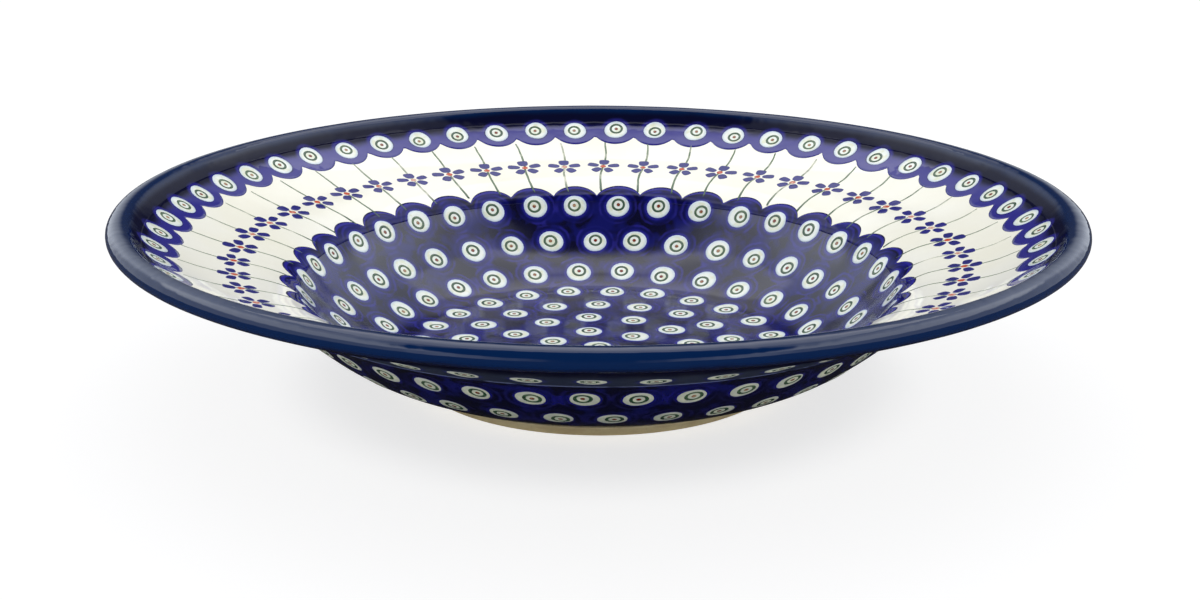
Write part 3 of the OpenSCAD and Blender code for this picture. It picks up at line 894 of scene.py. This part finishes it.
def wall_glazes():
    """Cobalt in the well, on the scallops at its top and on the outer wall."""
    blur = 0.13
    graph, shader, place = glazed("cobalt_glaze", bump_size=12 * MM)
    gloss(graph, shader, 1.0, blur)
    coloured(graph, shader, cobalt(graph, place, 0.7, 1.4))

    graph, shader, place = glazed("outer_cobalt_glaze", bump_size=12 * MM)
    gloss(graph, shader, 1.0, blur)
    # Painted shade: with pools at 2.6 nearly all the outer wall takes the darkest cobalt, for the
    # shade under the flange
    base = cobalt(graph, place, 0.4, 2.6, 1.4 * MM)
    coloured(graph, shader, thin_edge(graph, place, base, 0.016, 0.003))

    # The scallops have a thin paler line inside their edge
    graph, shader, place = glazed("scallop_blue", bump_size=12 * MM)
    graph.feed(shader, {"Coat Weight": 0.4})
    line_share = 0.86
    off = graph.maths("ABSOLUTE", graph.maths(
        "SUBTRACT", graph.painted("edge_share"), line_share))
    line = graph.ramp(off, 0.02, 0.12, 0.8, 0.0)
    coloured(graph, shader, graph.blend(line, cobalt(graph, place, 0.7, 0.9),
                                        rgba("cobalt_pale")))


def rim_glazes():
    """Violet and navy on the flange, over the lip and under the flange."""
    graph, shader, place = glazed("flange_violet")
    coloured(graph, shader, band(graph, place))
    satin(graph, shader, place)

    # Over the lip the band turns blue, and below the round it is darkened again, a painted shade on
    # the lip's lower side
    graph, shader, place = glazed("navy_glaze")
    sizes = bpy.context.scene.plate_sizes
    top, edge = sizes.height, sizes.diameter / 2
    height = graph.add("ShaderNodeSeparateXYZ", {0: place}).outputs[2]
    level = graph.maths("ADD", height, graph.maths(
        "MULTIPLY", graph.waver(place, 16 * MM, 4.0), 2 * MM))
    share = graph.maths("MAXIMUM", graph.ramp(level, top - 3.2 * MM, top - 0.6 * MM),
                        graph.ramp(graph.from_axis(place), edge - 4.5 * MM, edge - 3 * MM))
    base = graph.blend(share, band(graph, place), rgba("navy"))
    # Painted shade: the lip's lower side is made darker by height, as light falls less there
    below = graph.ramp(level, top - 6.2 * MM, top - 3.8 * MM, 1.0, 0.0)
    coloured(graph, shader, graph.blend(below, base, rgba("navy_dark")))
    satin(graph, shader, place)

    graph, shader, place = glazed("under_glaze")
    gloss(graph, shader, *LOW_GLOSS)
    base = graph.blend(graph.blotches(place, 20 * MM, 6.0, 0.35, 0.65), rgba("navy_dark"),
                       rgba("cobalt_dark"))
    # Painted light and shade: the underside is darker close to the lip and paler towards the crease
    painted_light_to_crease = graph.ramp(graph.painted("edge_share"), 0.1, 0.9)
    base = graph.blend(painted_light_to_crease, base, rgba("slate"))
    near = graph.ramp(graph.painted("eye_gap"), 0.3 * MM, 1.8 * MM, 0.3, 0.0)
    base = graph.blend(near, base, rgba("cobalt_pale"))
    coloured(graph, shader, thin_edge(graph, place, base, 0.984, 0.996))


def pale_glazes():
    """Clear glaze over pale slip on the flange, and the pale slip of the eyes."""
    graph, shader, place = glazed("cream_glaze", bump=0.08 * MM, bump_size=10 * MM)
    specks = graph.blotches(place, 1.2 * MM, 8.0, 0.7, 0.8, 0.0, 0.35, 1.0)
    warm = graph.maths("MAXIMUM", specks, graph.blotches(
        place, 30 * MM, 7.0, 0.35, 0.75, 0.0, 0.6, 3.0))
    coloured(graph, shader, graph.blend(warm, rgba("cream"), rgba("cream_warm")))

    # The outside eyes take outer_eye, a darker copy of the eye colour: painted shade
    for name, body, rim in (("pale_eye", "eye", "eye_edge"),
                            ("outside_eye", "outer_eye", "outer_eye")):
        graph, shader, place = glazed(name)
        if name == "outside_eye":
            gloss(graph, shader, *LOW_GLOSS)
        patch = graph.blotches(place, 3 * MM, 11.0, 0.45, 0.65, 0.0, 0.8)
        base = graph.blend(patch, rgba(body), rgba("eye_warm"))
        edge = graph.ramp(graph.painted("from_middle"), 0.72, 1.0)
        coloured(graph, shader, graph.blend(edge, base, rgba(rim)))


def thin_inks():
    """Thin stamped colours, each a little uneven and some stamps fainter than others."""
    for name, thick, thin, size in (
            ("green_ring", "ring", "ring_pale", 1.2 * MM),
            ("red_dot", "dot", "clay_dark", 0.6 * MM),
            ("orange_heart", "heart", "cream_warm", 1.2 * MM),
            ("olive_line", "stem", "cream_warm", 4 * MM),
            ("petal_blue", "petal", "violet", 1.8 * MM)):
        graph, shader, place = glazed(name)
        luck = graph.ramp(graph.painted("row_luck"), -1.0, 1.0, -0.25, 0.25)
        share = graph.maths("ADD", luck, graph.blotches(place, size, 13.0, 0.4, 0.75, 0.0, 0.55))
        share = graph.maths("MINIMUM", graph.maths("MAXIMUM", share, 0.0), 1.0)
        base = graph.blend(share, rgba(thick), rgba(thin))
        if name == "olive_line":
            wet_end = graph.ramp(graph.painted("from_middle"), 0.02, 0.24, 0.9, 0.0)
            base = graph.blend(wet_end, base, rgba("ring"))
        coloured(graph, shader, base)


def bare_clay():
    """Bare clay, rough and speckled."""
    graph, shader, place = glazed("bare_clay", 0.85, 0.12 * MM, 1.1 * MM)
    graph.feed(shader, {"Specular IOR Level": 0.25, "Coat Weight": 0.0})
    grain = graph.blotches(place, 0.8 * MM, 17.0, 0.62, 0.72, 0.0, 0.6, 1.0)
    share = graph.maths("MAXIMUM", grain, graph.blotches(
        place, 9 * MM, 15.0, 0.4, 0.7, 0.0, 0.5, 3.0))
    coloured(graph, shader, graph.blend(share, rgba("clay"), rgba("clay_dark")))


def eye_layers(prefix, rows, pale, nodes):
    """The three layers of an eye: pale dab, green ring and red dot, for a list of rows. Row
    jitter moves all three together, and own jitter moves ring and dot within the dab."""
    stamps = bpy.context.scene.plate_stamps
    proud, seat = stamps.proud, stamps.seat
    eye, ring, iris = stamps.eye, stamps.ring, stamps.iris
    if pale == "outside_eye":
        eye, ring, iris = stamps.outer_eye, stamps.outer_ring, stamps.outer_iris
    dab = keep_stamp(stamp_mesh(prefix + "_dab_stamp", [
        (circle(eye / 2, 22), proud, seat, (0.33, 0.64, 0.93))]))
    hoop = keep_stamp(hoop_mesh(prefix + "_ring_stamp", ring / 2, iris / 2, proud, seat / 2))
    spot = keep_stamp(stamp_mesh(prefix + "_dot_stamp", [
        (circle(stamps.dot / 2, 9), proud, seat / 2, (0.7,))]))
    any_turn = 3.1
    common = {"Row jitter": 0.5 * MM, "Turn jitter": any_turn, "Size jitter": 0.035}
    stamp_rows(prefix + "_dabs", dab, pale, rows, pale, nodes[0], Wobble=0.18 * MM, **common)
    common.update({"Own jitter": 0.7 * MM, "Own seed": 5})
    stamp_rows(prefix + "_hoops", hoop, "green_ring", rows, "green_ring", nodes[1],
               Wobble=0.12 * MM, Lift=proud * 0.6, **common)
    stamp_rows(prefix + "_spots", spot, "red_dot", rows, "red_dot", nodes[2],
               Wobble=0.1 * MM, Lift=proud * 0.9, **common)


def well_rows():
    """Where the rows of eyes in the well lie."""
    sizes, stamps = bpy.context.scene.plate_sizes, bpy.context.scene.plate_stamps
    section = Workshop.section
    radii = [sizes.steep_radius, sizes.wall_radius, sizes.cove_radius]
    inward = stamps.floor_row
    while inward > stamps.eye:
        radii.append(inward)
        inward -= stamps.floor_pitch
    # Where each row starts, in degrees round the plate, from the steepest ring inwards
    turns = (85.6, 91.2, 96.2, 85.6, 90.6, 95.6, 100.6, 105.6)
    rows = [{"where": section.along(radius), "count": round(ROUND * radius / stamps.pitch),
             "turn": math.radians(turn)} for radius, turn in zip(radii, turns)]
    return rows + [{"where": 0.0, "count": 1, "turn": 0.0}]


def flange_row():
    """Where the row of eyes on the flange lies."""
    return [{"where": Workshop.section.along(eye_row_radius()),
             "count": bpy.context.scene.plate_stamps.flange_eyes,
             "turn": math.radians(87.4), "seed": 200}]


class PlateStep:
    """What the steps share: each is run once the section and the node trees are there."""

    def execute(self, context):
        prepare()
        self.make(context.scene)
        return {"FINISHED"}


class PLATE_OT_flange_eyes(PlateStep, bpy.types.Operator):
    """Stamp the row of eyes on the flange"""
    bl_idname = "plate.flange_eyes"
    bl_label = "Flange eyes"

    def make(self, scene):
        eye_layers("flange_eye", flange_row(), "pale_eye",
                   ("flange_eyes", "flange_eye_rings", "flange_eye_dots"))


class PLATE_OT_well_eyes(PlateStep, bpy.types.Operator):
    """Stamp the rows of eyes in the well"""
    bl_idname = "plate.well_eyes"
    bl_label = "Well eyes"

    def make(self, scene):
        eye_layers("well_eye", well_rows(), "pale_eye",
                   ("well_eyes", "well_eye_rings", "well_eye_dots"))


class PLATE_OT_outside_eyes(PlateStep, bpy.types.Operator):
    """Stamp the rows of eyes under the flange and on the outer wall"""
    bl_idname = "plate.outside_eyes"
    bl_label = "Outside eyes"

    def make(self, scene):
        sizes, stamps = scene.plate_sizes, scene.plate_stamps
        rows = [{"where": Workshop.section.along(radius, True), "count": number,
                 "turn": math.radians(turn), "seed": 300}
                for radius, number, turn in (
                    (sizes.under_row_radius, stamps.under_eyes, 89.1),
                    (sizes.high_radius, stamps.high_eyes, 92.0),
                    (sizes.low_radius, stamps.low_eyes, 87.7))]
        eye_layers("outside_eye", rows, "outside_eye",
                   ("outside_eyes", "outside_eye_rings", "outside_eye_dots"))


class PLATE_OT_flowers(PlateStep, bpy.types.Operator):
    """Stamp the row of flowers, with their hearts and stems, on the flange"""
    bl_idname = "plate.flowers"
    bl_label = "Flowers"

    def make(self, scene):
        sizes, stamps = scene.plate_sizes, scene.plate_stamps
        section, proud, seat = Workshop.section, stamps.proud, stamps.seat
        where = section.along(sizes.edge_radius + sizes.flat_width)
        row = [{"where": where, "count": stamps.flowers, "turn": math.radians(89.1), "seed": 500}]
        # Each petal's turn, and its length, width and reach as shares of the usual ones
        petals = []
        for turn, size, width, reach in ((0, 0.84, 1.3, 0.86), (76, 0.98, 0.98, 1.02),
                                         (-76, 0.98, 0.98, 1.02), (142, 0.86, 1.06, 0.92),
                                         (-142, 0.86, 1.06, 0.92)):
            outline = petal_outline(reach * stamps.petal_reach, size * stamps.petal,
                                    width * stamps.petal_width, math.radians(turn))
            petals.append((outline, proud, seat, (0.5, 0.9)))
        flower = keep_stamp(stamp_mesh("flower_stamp", petals))
        heart = keep_stamp(stamp_mesh("heart_stamp", [
            (circle(stamps.heart / 2, 12), proud, seat / 2, (0.8,))]))
        common = {"Row jitter": 0.3 * MM, "Turn jitter": math.radians(5), "Size jitter": 0.05,
                  "Wobble": 0.16 * MM}
        stamp_rows("petals", flower, "petal_blue", row, "violet_blue", "flower_petals",
                   Lift=proud * 0.3, **common)
        stamp_rows("hearts", heart, "orange_heart", row, "orange_heart", "flower_hearts",
                   Lift=proud * 0.5, **common)
        # A stem runs from just inside the well's scallops to just inside the flange's
        high = section.along(eye_row_radius() - stamps.flange_tip) + 0.8 * MM - where
        low = section.along(sizes.edge_radius) - 2.4 * MM - where
        stem = keep_stamp(stem_mesh("stem_stamp", low, high, stamps.stem, proud * 0.6, seat / 2))
        stamp_rows("stems", stem, "olive_line", row, "olive_line", "flower_stems", **{
            "Row jitter": 0.4 * MM, "Turn jitter": math.radians(1.6), "Wobble": 0.22 * MM})


def stem_mesh(name, low, high, width, top, seat, steps=34):
    """A thin flat line along X with a slow bow, tapering to its ends and wider where the
    brush was set down, at its lower end."""
    bow, set_down, widening = 0.7 * MM, 0.2, 0.6
    corners, faces, shares = [], [], []
    for i in range(steps + 1):
        share = i / steps
        x = low + (high - low) * share
        y = bow * math.sin(ROUND * share)
        half = width / 2 * (0.6 + 0.4 * math.sin(math.pi * share) ** 0.5)
        half *= 1 + widening * max(1 - share / set_down, 0)
        corners.extend([(x, y - half, -seat), (x, y - half, top * 0.5), (x, y, top),
                        (x, y + half, top * 0.5), (x, y + half, -seat)])
        shares.extend([share] * 5)
    for i in range(steps):
        a, b = 5 * i, 5 * (i + 1)
        faces.extend((a + k, b + k, b + (k + 1) % 5, a + (k + 1) % 5) for k in range(5))
    faces.append(list(range(5)))
    faces.append([5 * steps + k for k in reversed(range(5))])
    return new_mesh(name, corners, faces, {"from_middle": shares})


def scalloped(number, turn, radius, centre, side, jitter):
    """The length along the section where a ring of scallops ends, as a function of the angle.
    A scallop is an arc seen from above, round a middle at the radius centre, and side is 1
    where the scallops point away from the axis and -1 where they point at it."""
    step = ROUND / number

    def edge(angle):
        place = (angle - turn) / step
        ends = []
        for k in (math.floor(place), math.ceil(place)):
            # Each scallop is moved a little, aside and in or out, by amounts of its own
            shift = jitter / centre * math.sin(k % number * 2.4 + 1.0)
            reach = jitter * math.sin(k % number * 5.3)
            aside = (place - k) * step + shift
            across = centre * math.sin(aside)
            if abs(across) < radius:
                ends.append(centre * math.cos(aside) + side * math.sqrt(radius ** 2 - across ** 2)
                            + reach)
        return Workshop.section.along(side * max(side * end for end in ends))
    return edge


class PLATE_OT_scallops(PlateStep, bpy.types.Operator):
    """Brush the blue scallops on the flange and at the top of the well"""
    bl_idname = "plate.scallops"
    bl_label = "Scallops"

    def make(self, scene):
        sizes, stamps = scene.plate_sizes, scene.plate_stamps
        marks, top = Workshop.section.marks, stamps.proud * 0.4
        row = flange_row()[0]
        middle = eye_row_radius() - stamps.flange_tip + stamps.flange_scallop
        near = scalloped(row["count"], row["turn"], stamps.flange_scallop, middle, -1, 0.3 * MM)
        end = marks["lip"] + 0.8 * MM
        flat = strip_mesh("flat", near, lambda angle: end, row["count"] * 16, 10, top, stamps.seat)
        lay_coat("flange_scallop_band", flat, "flange_violet", "flange_eye_dabs",
                 "flange_scallops")
        row = well_rows()[0]
        middle = sizes.edge_radius + stamps.well_tip - stamps.well_scallop
        far = scalloped(row["count"], row["turn"], stamps.well_scallop, middle, 1, 0.25 * MM)
        start = marks["flange"] - 1.2 * MM
        flat = strip_mesh("flat", lambda angle: start, far, row["count"] * 20, 9, top, stamps.seat)
        lay_coat("well_scallop_band", flat, "scallop_blue", "well_eye_dabs",
                 "well_scallops")


class PLATE_OT_coats(PlateStep, bpy.types.Operator):
    """Lay the glaze coats of the well, the flange, the lip and the outside"""
    bl_idname = "plate.coats"
    bl_label = "Glaze coats"

    def make(self, scene):
        glaze, marks = scene.plate_sizes.glaze, Workshop.section.marks
        # Each coat's zone and the next one, its material, slot, nearest eyes, CAD node, steps
        # round the plate and the distance between its rows
        for name, zone, following, material, slot, eyes, node, across, pitch in (
                ("well_coat", "well", "flange", "cobalt_glaze", "cobalt_glaze",
                 "well_eye_dabs", "well_glaze", 560, 1.3 * MM),
                ("flange_coat", "flange", "lip", "cream_glaze", "cream_glaze",
                 "flange_eye_dabs", "flange_glaze", 480, 1.4 * MM),
                ("lip_coat", "lip", "under", "navy_glaze", "navy_glaze",
                 "flange_eye_dabs", "rim_glaze", 720, 0.6 * MM),
                ("underside_coat", "under", "outside", "under_glaze", "navy_glaze",
                 "outside_eye_dabs", "underside_glaze", 560, 1.4 * MM),
                ("outer_coat", "outside", "foot", "outer_cobalt_glaze", "cobalt_glaze",
                 "outside_eye_dabs", "outer_wall_glaze", 560, 1.3 * MM)):
            start, end = marks[zone], marks[following]
            rows = max(2, round((end - start) / pitch))
            flat = strip_mesh("flat", lambda angle, start=start: start,
                              lambda angle, end=end: end, across, rows, 0.0, glaze, 3)
            lay_coat(name, flat, material, eyes, node)


def foot_outline(steps=6):
    """The foot ring's outline, with rounded edges and fine turning grooves on its side."""
    sizes, lean = bpy.context.scene.plate_sizes, bpy.context.scene.plate_slopes.foot_side
    top, edge, height = sizes.foot_top_radius, sizes.foot_edge, sizes.foot_height
    groove_depth, grooves = 0.08 * MM, 19
    side = height - edge * (1 - math.cos(lean))
    outer = top - side / math.tan(lean) - edge * math.sin(lean)
    corner = (outer + edge * math.sin(lean), edge - edge * math.cos(lean))
    outline = []
    for i in range(9):
        share = i / 9
        outline.append((sizes.recess_radius + share * (top - sizes.recess_radius), height))
    for i in range(8):
        share = i / 8
        groove = groove_depth * math.sin(share * grooves)
        outline.append((top + share * (corner[0] - top) + groove,
                        height + share * (corner[1] - height)))
    for i in range(steps + 1):
        turn = lean * (1 - i / steps)
        outline.append((outer + edge * math.sin(turn), edge - edge * math.cos(turn)))
    for i in range(steps + 1):
        turn = math.pi / 2 * i / steps
        outline.append((sizes.foot_inner_radius + edge - edge * math.sin(turn),
                        edge - edge * math.cos(turn)))
    outline.append((sizes.recess_radius, sizes.recess_height))
    return outline


def core_outline():
    """The clay under the glaze coats, down to the foot ring and the glaze of the recess."""
    sizes = bpy.context.scene.plate_sizes
    under_coats = Workshop.section.inset(sizes.glaze)
    outline = under_coats[:-1:3] + [under_coats[-1]]
    base = sizes.recess_height + sizes.glaze
    return outline + [(outline[-1][0], sizes.foot_height), (sizes.recess_radius, sizes.foot_height),
                      (sizes.recess_radius, base), (0.0, base)]


class PLATE_OT_clay(PlateStep, bpy.types.Operator):
    """Turn the bare foot ring and the clay under the glaze, and give the base its finish"""
    bl_idname = "plate.clay"
    bl_label = "Clay and foot"

    def make(self, scene):
        foot = lathe_mesh("bare_foot", foot_outline(), 320, 0.12 * MM)
        core = lathe_mesh("clay_core", core_outline(), 180, 0.0)
        close_poles(core.data)
        for made, node in ((foot, "foot_ring"), (core, "clay_body")):
            made.data.materials.append(Workshop.materials["bare_clay"])
            made.data.shade_smooth()
            finish_piece(made, node)
        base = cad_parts["base_glaze"]
        base.data.materials.clear()
        base.data.materials.append(Workshop.materials["cream_glaze"])


def make_floor(scene):
    """A plain pale floor. The camera sees it almost white with a soft shadow at the foot, partly
    real shade and partly painted shadow, as its glow is lowered there; and the glaze mirrors it
    dark, a painted shade, as if in the shade of the plate."""
    # mirrored is painted shade: rays mirrored in the glaze see the floor near black, as if it lay
    # in the plate's shade
    mirrored, shadow = (0.07, 0.07, 0.08, 1), (0.46, 0.46, 0.47, 1)
    open_floor = (0.15, 0.15, 0.155, 1)
    shadow_start, shadow_end = 82 * MM, 112 * MM
    glow_in_shadow, glow_more = 0.7, 0.17
    half = 6.0
    floor = new_mesh("studio_floor", [(-half, -half, 0), (half, -half, 0), (half, half, 0),
                                      (-half, half, 0)], [(0, 1, 2, 3)])
    material, graph, shader, place = new_material("studio_floor")
    rays = graph.add("ShaderNodeLightPath")
    # Painted shadow: round the foot the camera sees less glow and more of the real shade, so the
    # shadow there is darker than the light makes it
    far = graph.ramp(graph.from_axis(place), shadow_start, shadow_end)
    lit = graph.blend(rays.outputs["Is Glossy Ray"], (*scene.plate_colours.floor, 1), mirrored)
    seen = graph.blend(far, shadow, open_floor)
    glow = graph.maths("ADD", graph.maths("MULTIPLY", far, glow_more), glow_in_shadow)
    graph.feed(shader, {
        "Base Color": graph.blend(rays.outputs["Is Camera Ray"], lit, seen),
        "Roughness": 0.9, "Specular IOR Level": 0.1, "Emission Color": (1, 1, 1, 1),
        "Emission Strength": graph.maths("MULTIPLY", rays.outputs["Is Camera Ray"], glow)})
    floor.data.materials.append(material)


def make_world(scene):
    """Even light all round. Rays mirrored in the glaze see the lamps, walls and dark gaps of
    a studio instead, and the camera sees white."""
    even_light, white = (0.93, 0.94, 0.96, 1), (1, 1, 1, 1)
    back, back_side = (0.06, 0.06, 0.07, 1), (0.5, 0.53, 0.57, 1)
    side, high_side = (1.3, 1.38, 1.5, 1), (2.3, 2.4, 2.5, 1)
    veil, tube_light, gap = (1.0, 1.0, 1.04, 1), (1.6, 1.62, 1.7, 1), (0.03, 0.03, 0.05, 1)
    veil_way, gap_way = (0.0, 0.6, 0.8), (0.0, -0.56, 0.83)
    tube_slant, tube_half_length = 0.12, 0.75
    world = bpy.data.worlds.new("studio")
    scene.world = world
    world.use_nodes = True
    graph = Graph(world.node_tree)
    toward = graph.add("ShaderNodeTexCoord").outputs["Generated"]
    across, along, up = graph.add("ShaderNodeSeparateXYZ", {0: toward}).outputs
    aside = graph.maths("ABSOLUTE", across)
    mirrored = graph.blend(graph.ramp(aside, 0.1, 0.3), back, back_side)
    share = graph.maths("MULTIPLY", graph.ramp(aside, 0.22, 0.6), graph.maths(
        "MAXIMUM", graph.ramp(aside, 0.5, 0.7, 1.0, 0.3), graph.ramp(up, 0.36, 0.5)))
    mirrored = graph.blend(share, mirrored, side)
    share = graph.maths("MULTIPLY", graph.ramp(up, 0.42, 0.52), graph.ramp(aside, 0.5, 0.66))
    mirrored = graph.blend(share, mirrored, high_side)
    share = graph.ramp(graph.measure("DOT_PRODUCT", toward, veil_way), 0.9, 0.97)
    mirrored = graph.blend(share, mirrored, veil)
    slant = graph.maths("DIVIDE", along, graph.maths("MAXIMUM", up, 0.05))
    tube = graph.ramp(graph.maths("ABSOLUTE", graph.maths("SUBTRACT", slant, tube_slant)),
                      0.05, 0.13, 1.0, 0.0)
    for end in (tube_half_length, -tube_half_length):
        tube = graph.maths("MULTIPLY", tube, graph.ramp(across, end * 0.7, end, 1.0, 0.0))
    mirrored = graph.blend(tube, mirrored, tube_light)
    share = graph.ramp(graph.measure("DOT_PRODUCT", toward, gap_way), 0.8, 0.86)
    mirrored = graph.blend(share, mirrored, gap)
    rays = graph.add("ShaderNodeLightPath")
    light = graph.blend(rays.outputs["Is Glossy Ray"], even_light, mirrored)
    seen = graph.blend(rays.outputs["Is Camera Ray"], light, white)
    graph.feed(world.node_tree.nodes["Background"], {"Strength": 1.0, "Color": seen})


def make_lamp(scene):
    """One soft box above and behind the plate."""
    place, target = Vector((0.0, 0.7, 1.5)), Vector((0, 0, 0.03))
    lamp = bpy.data.lights.new("back_softbox", "AREA")
    lamp.shape = "RECTANGLE"
    lamp.size, lamp.size_y = 1.8, 1.1
    lamp.energy = 7.0
    made = bpy.data.objects.new("back_softbox", lamp)
    scene.collection.objects.link(made)
    made.location = place
    made.rotation_euler = (target - place).to_track_quat("-Z", "Y").to_euler()


def make_camera(scene):
    """The camera as fitted to the photograph: it looks down by the tilt at a point above the
    middle of the plate, and its frame is moved by a few pixels of the photograph's width."""
    tilt, roll, distance, aim = math.radians(18.53), math.radians(-0.22), 0.523, 0.01427
    width, focal, down, right = 1200.0, 1613.0, 24.5, 0.4
    camera = bpy.data.cameras.new("camera")
    camera.sensor_fit = "HORIZONTAL"
    camera.sensor_width = 36.0
    camera.lens = focal / width * camera.sensor_width
    camera.shift_x = -right / width
    camera.shift_y = down / width
    camera.clip_start = 0.01
    made = bpy.data.objects.new("camera", camera)
    scene.collection.objects.link(made)
    made.location = (0, -distance * math.cos(tilt), aim + distance * math.sin(tilt))
    made.rotation_euler = (math.pi / 2 - tilt, roll, 0)
    scene.camera = made


class PLATE_OT_stage(PlateStep, bpy.types.Operator):
    """Set up the floor, the light and the camera"""
    bl_idname = "plate.stage"
    bl_label = "Floor, light and camera"

    def make(self, scene):
        scene.view_settings.view_transform = "Standard"
        make_floor(scene)
        make_world(scene)
        make_lamp(scene)
        make_camera(scene)


class PLATE_PT_panel(bpy.types.Panel):
    """Sizes, colours and steps of the plate"""
    bl_idname = "PLATE_PT_panel"
    bl_label = "Deep plate"
    bl_space_type = "VIEW_3D"
    bl_region_type = "UI"
    bl_category = "Plate"

    def draw(self, context):
        for group in ("plate_sizes", "plate_slopes", "plate_stamps", "plate_colours"):
            values = getattr(context.scene, group)
            box = self.layout.box()
            for name in values.__annotations__:
                box.prop(values, name, text=name.replace("_", " ").capitalize())
        for operator in STEPS:
            self.layout.operator(operator.bl_idname)


STEPS = (PLATE_OT_flange_eyes, PLATE_OT_well_eyes, PLATE_OT_outside_eyes, PLATE_OT_flowers,
         PLATE_OT_scallops, PLATE_OT_coats, PLATE_OT_clay, PLATE_OT_stage)
GROUPS = {"plate_sizes": PlateSizes, "plate_slopes": PlateSlopes, "plate_stamps": StampSizes,
          "plate_colours": PlateColours}


def register():
    for group in (*GROUPS.values(), *STEPS, PLATE_PT_panel):
        bpy.utils.register_class(group)
    for name, group in GROUPS.items():
        setattr(bpy.types.Scene, name, PointerProperty(type=group))


def unregister():
    for name in GROUPS:
        delattr(bpy.types.Scene, name)
    for group in (PLATE_PT_panel, *reversed(STEPS), *reversed(GROUPS.values())):
        bpy.utils.unregister_class(group)


def main():
    register()
    bpy.ops.plate.flange_eyes()
    bpy.ops.plate.well_eyes()
    bpy.ops.plate.outside_eyes()
    bpy.ops.plate.flowers()
    bpy.ops.plate.scallops()
    bpy.ops.plate.coats()
    bpy.ops.plate.clay()
    bpy.ops.plate.stage()
    for made in Workshop.stamps + [Workshop.curve]:
        bpy.data.objects.remove(made)


if __name__ == "__main__":
    main()
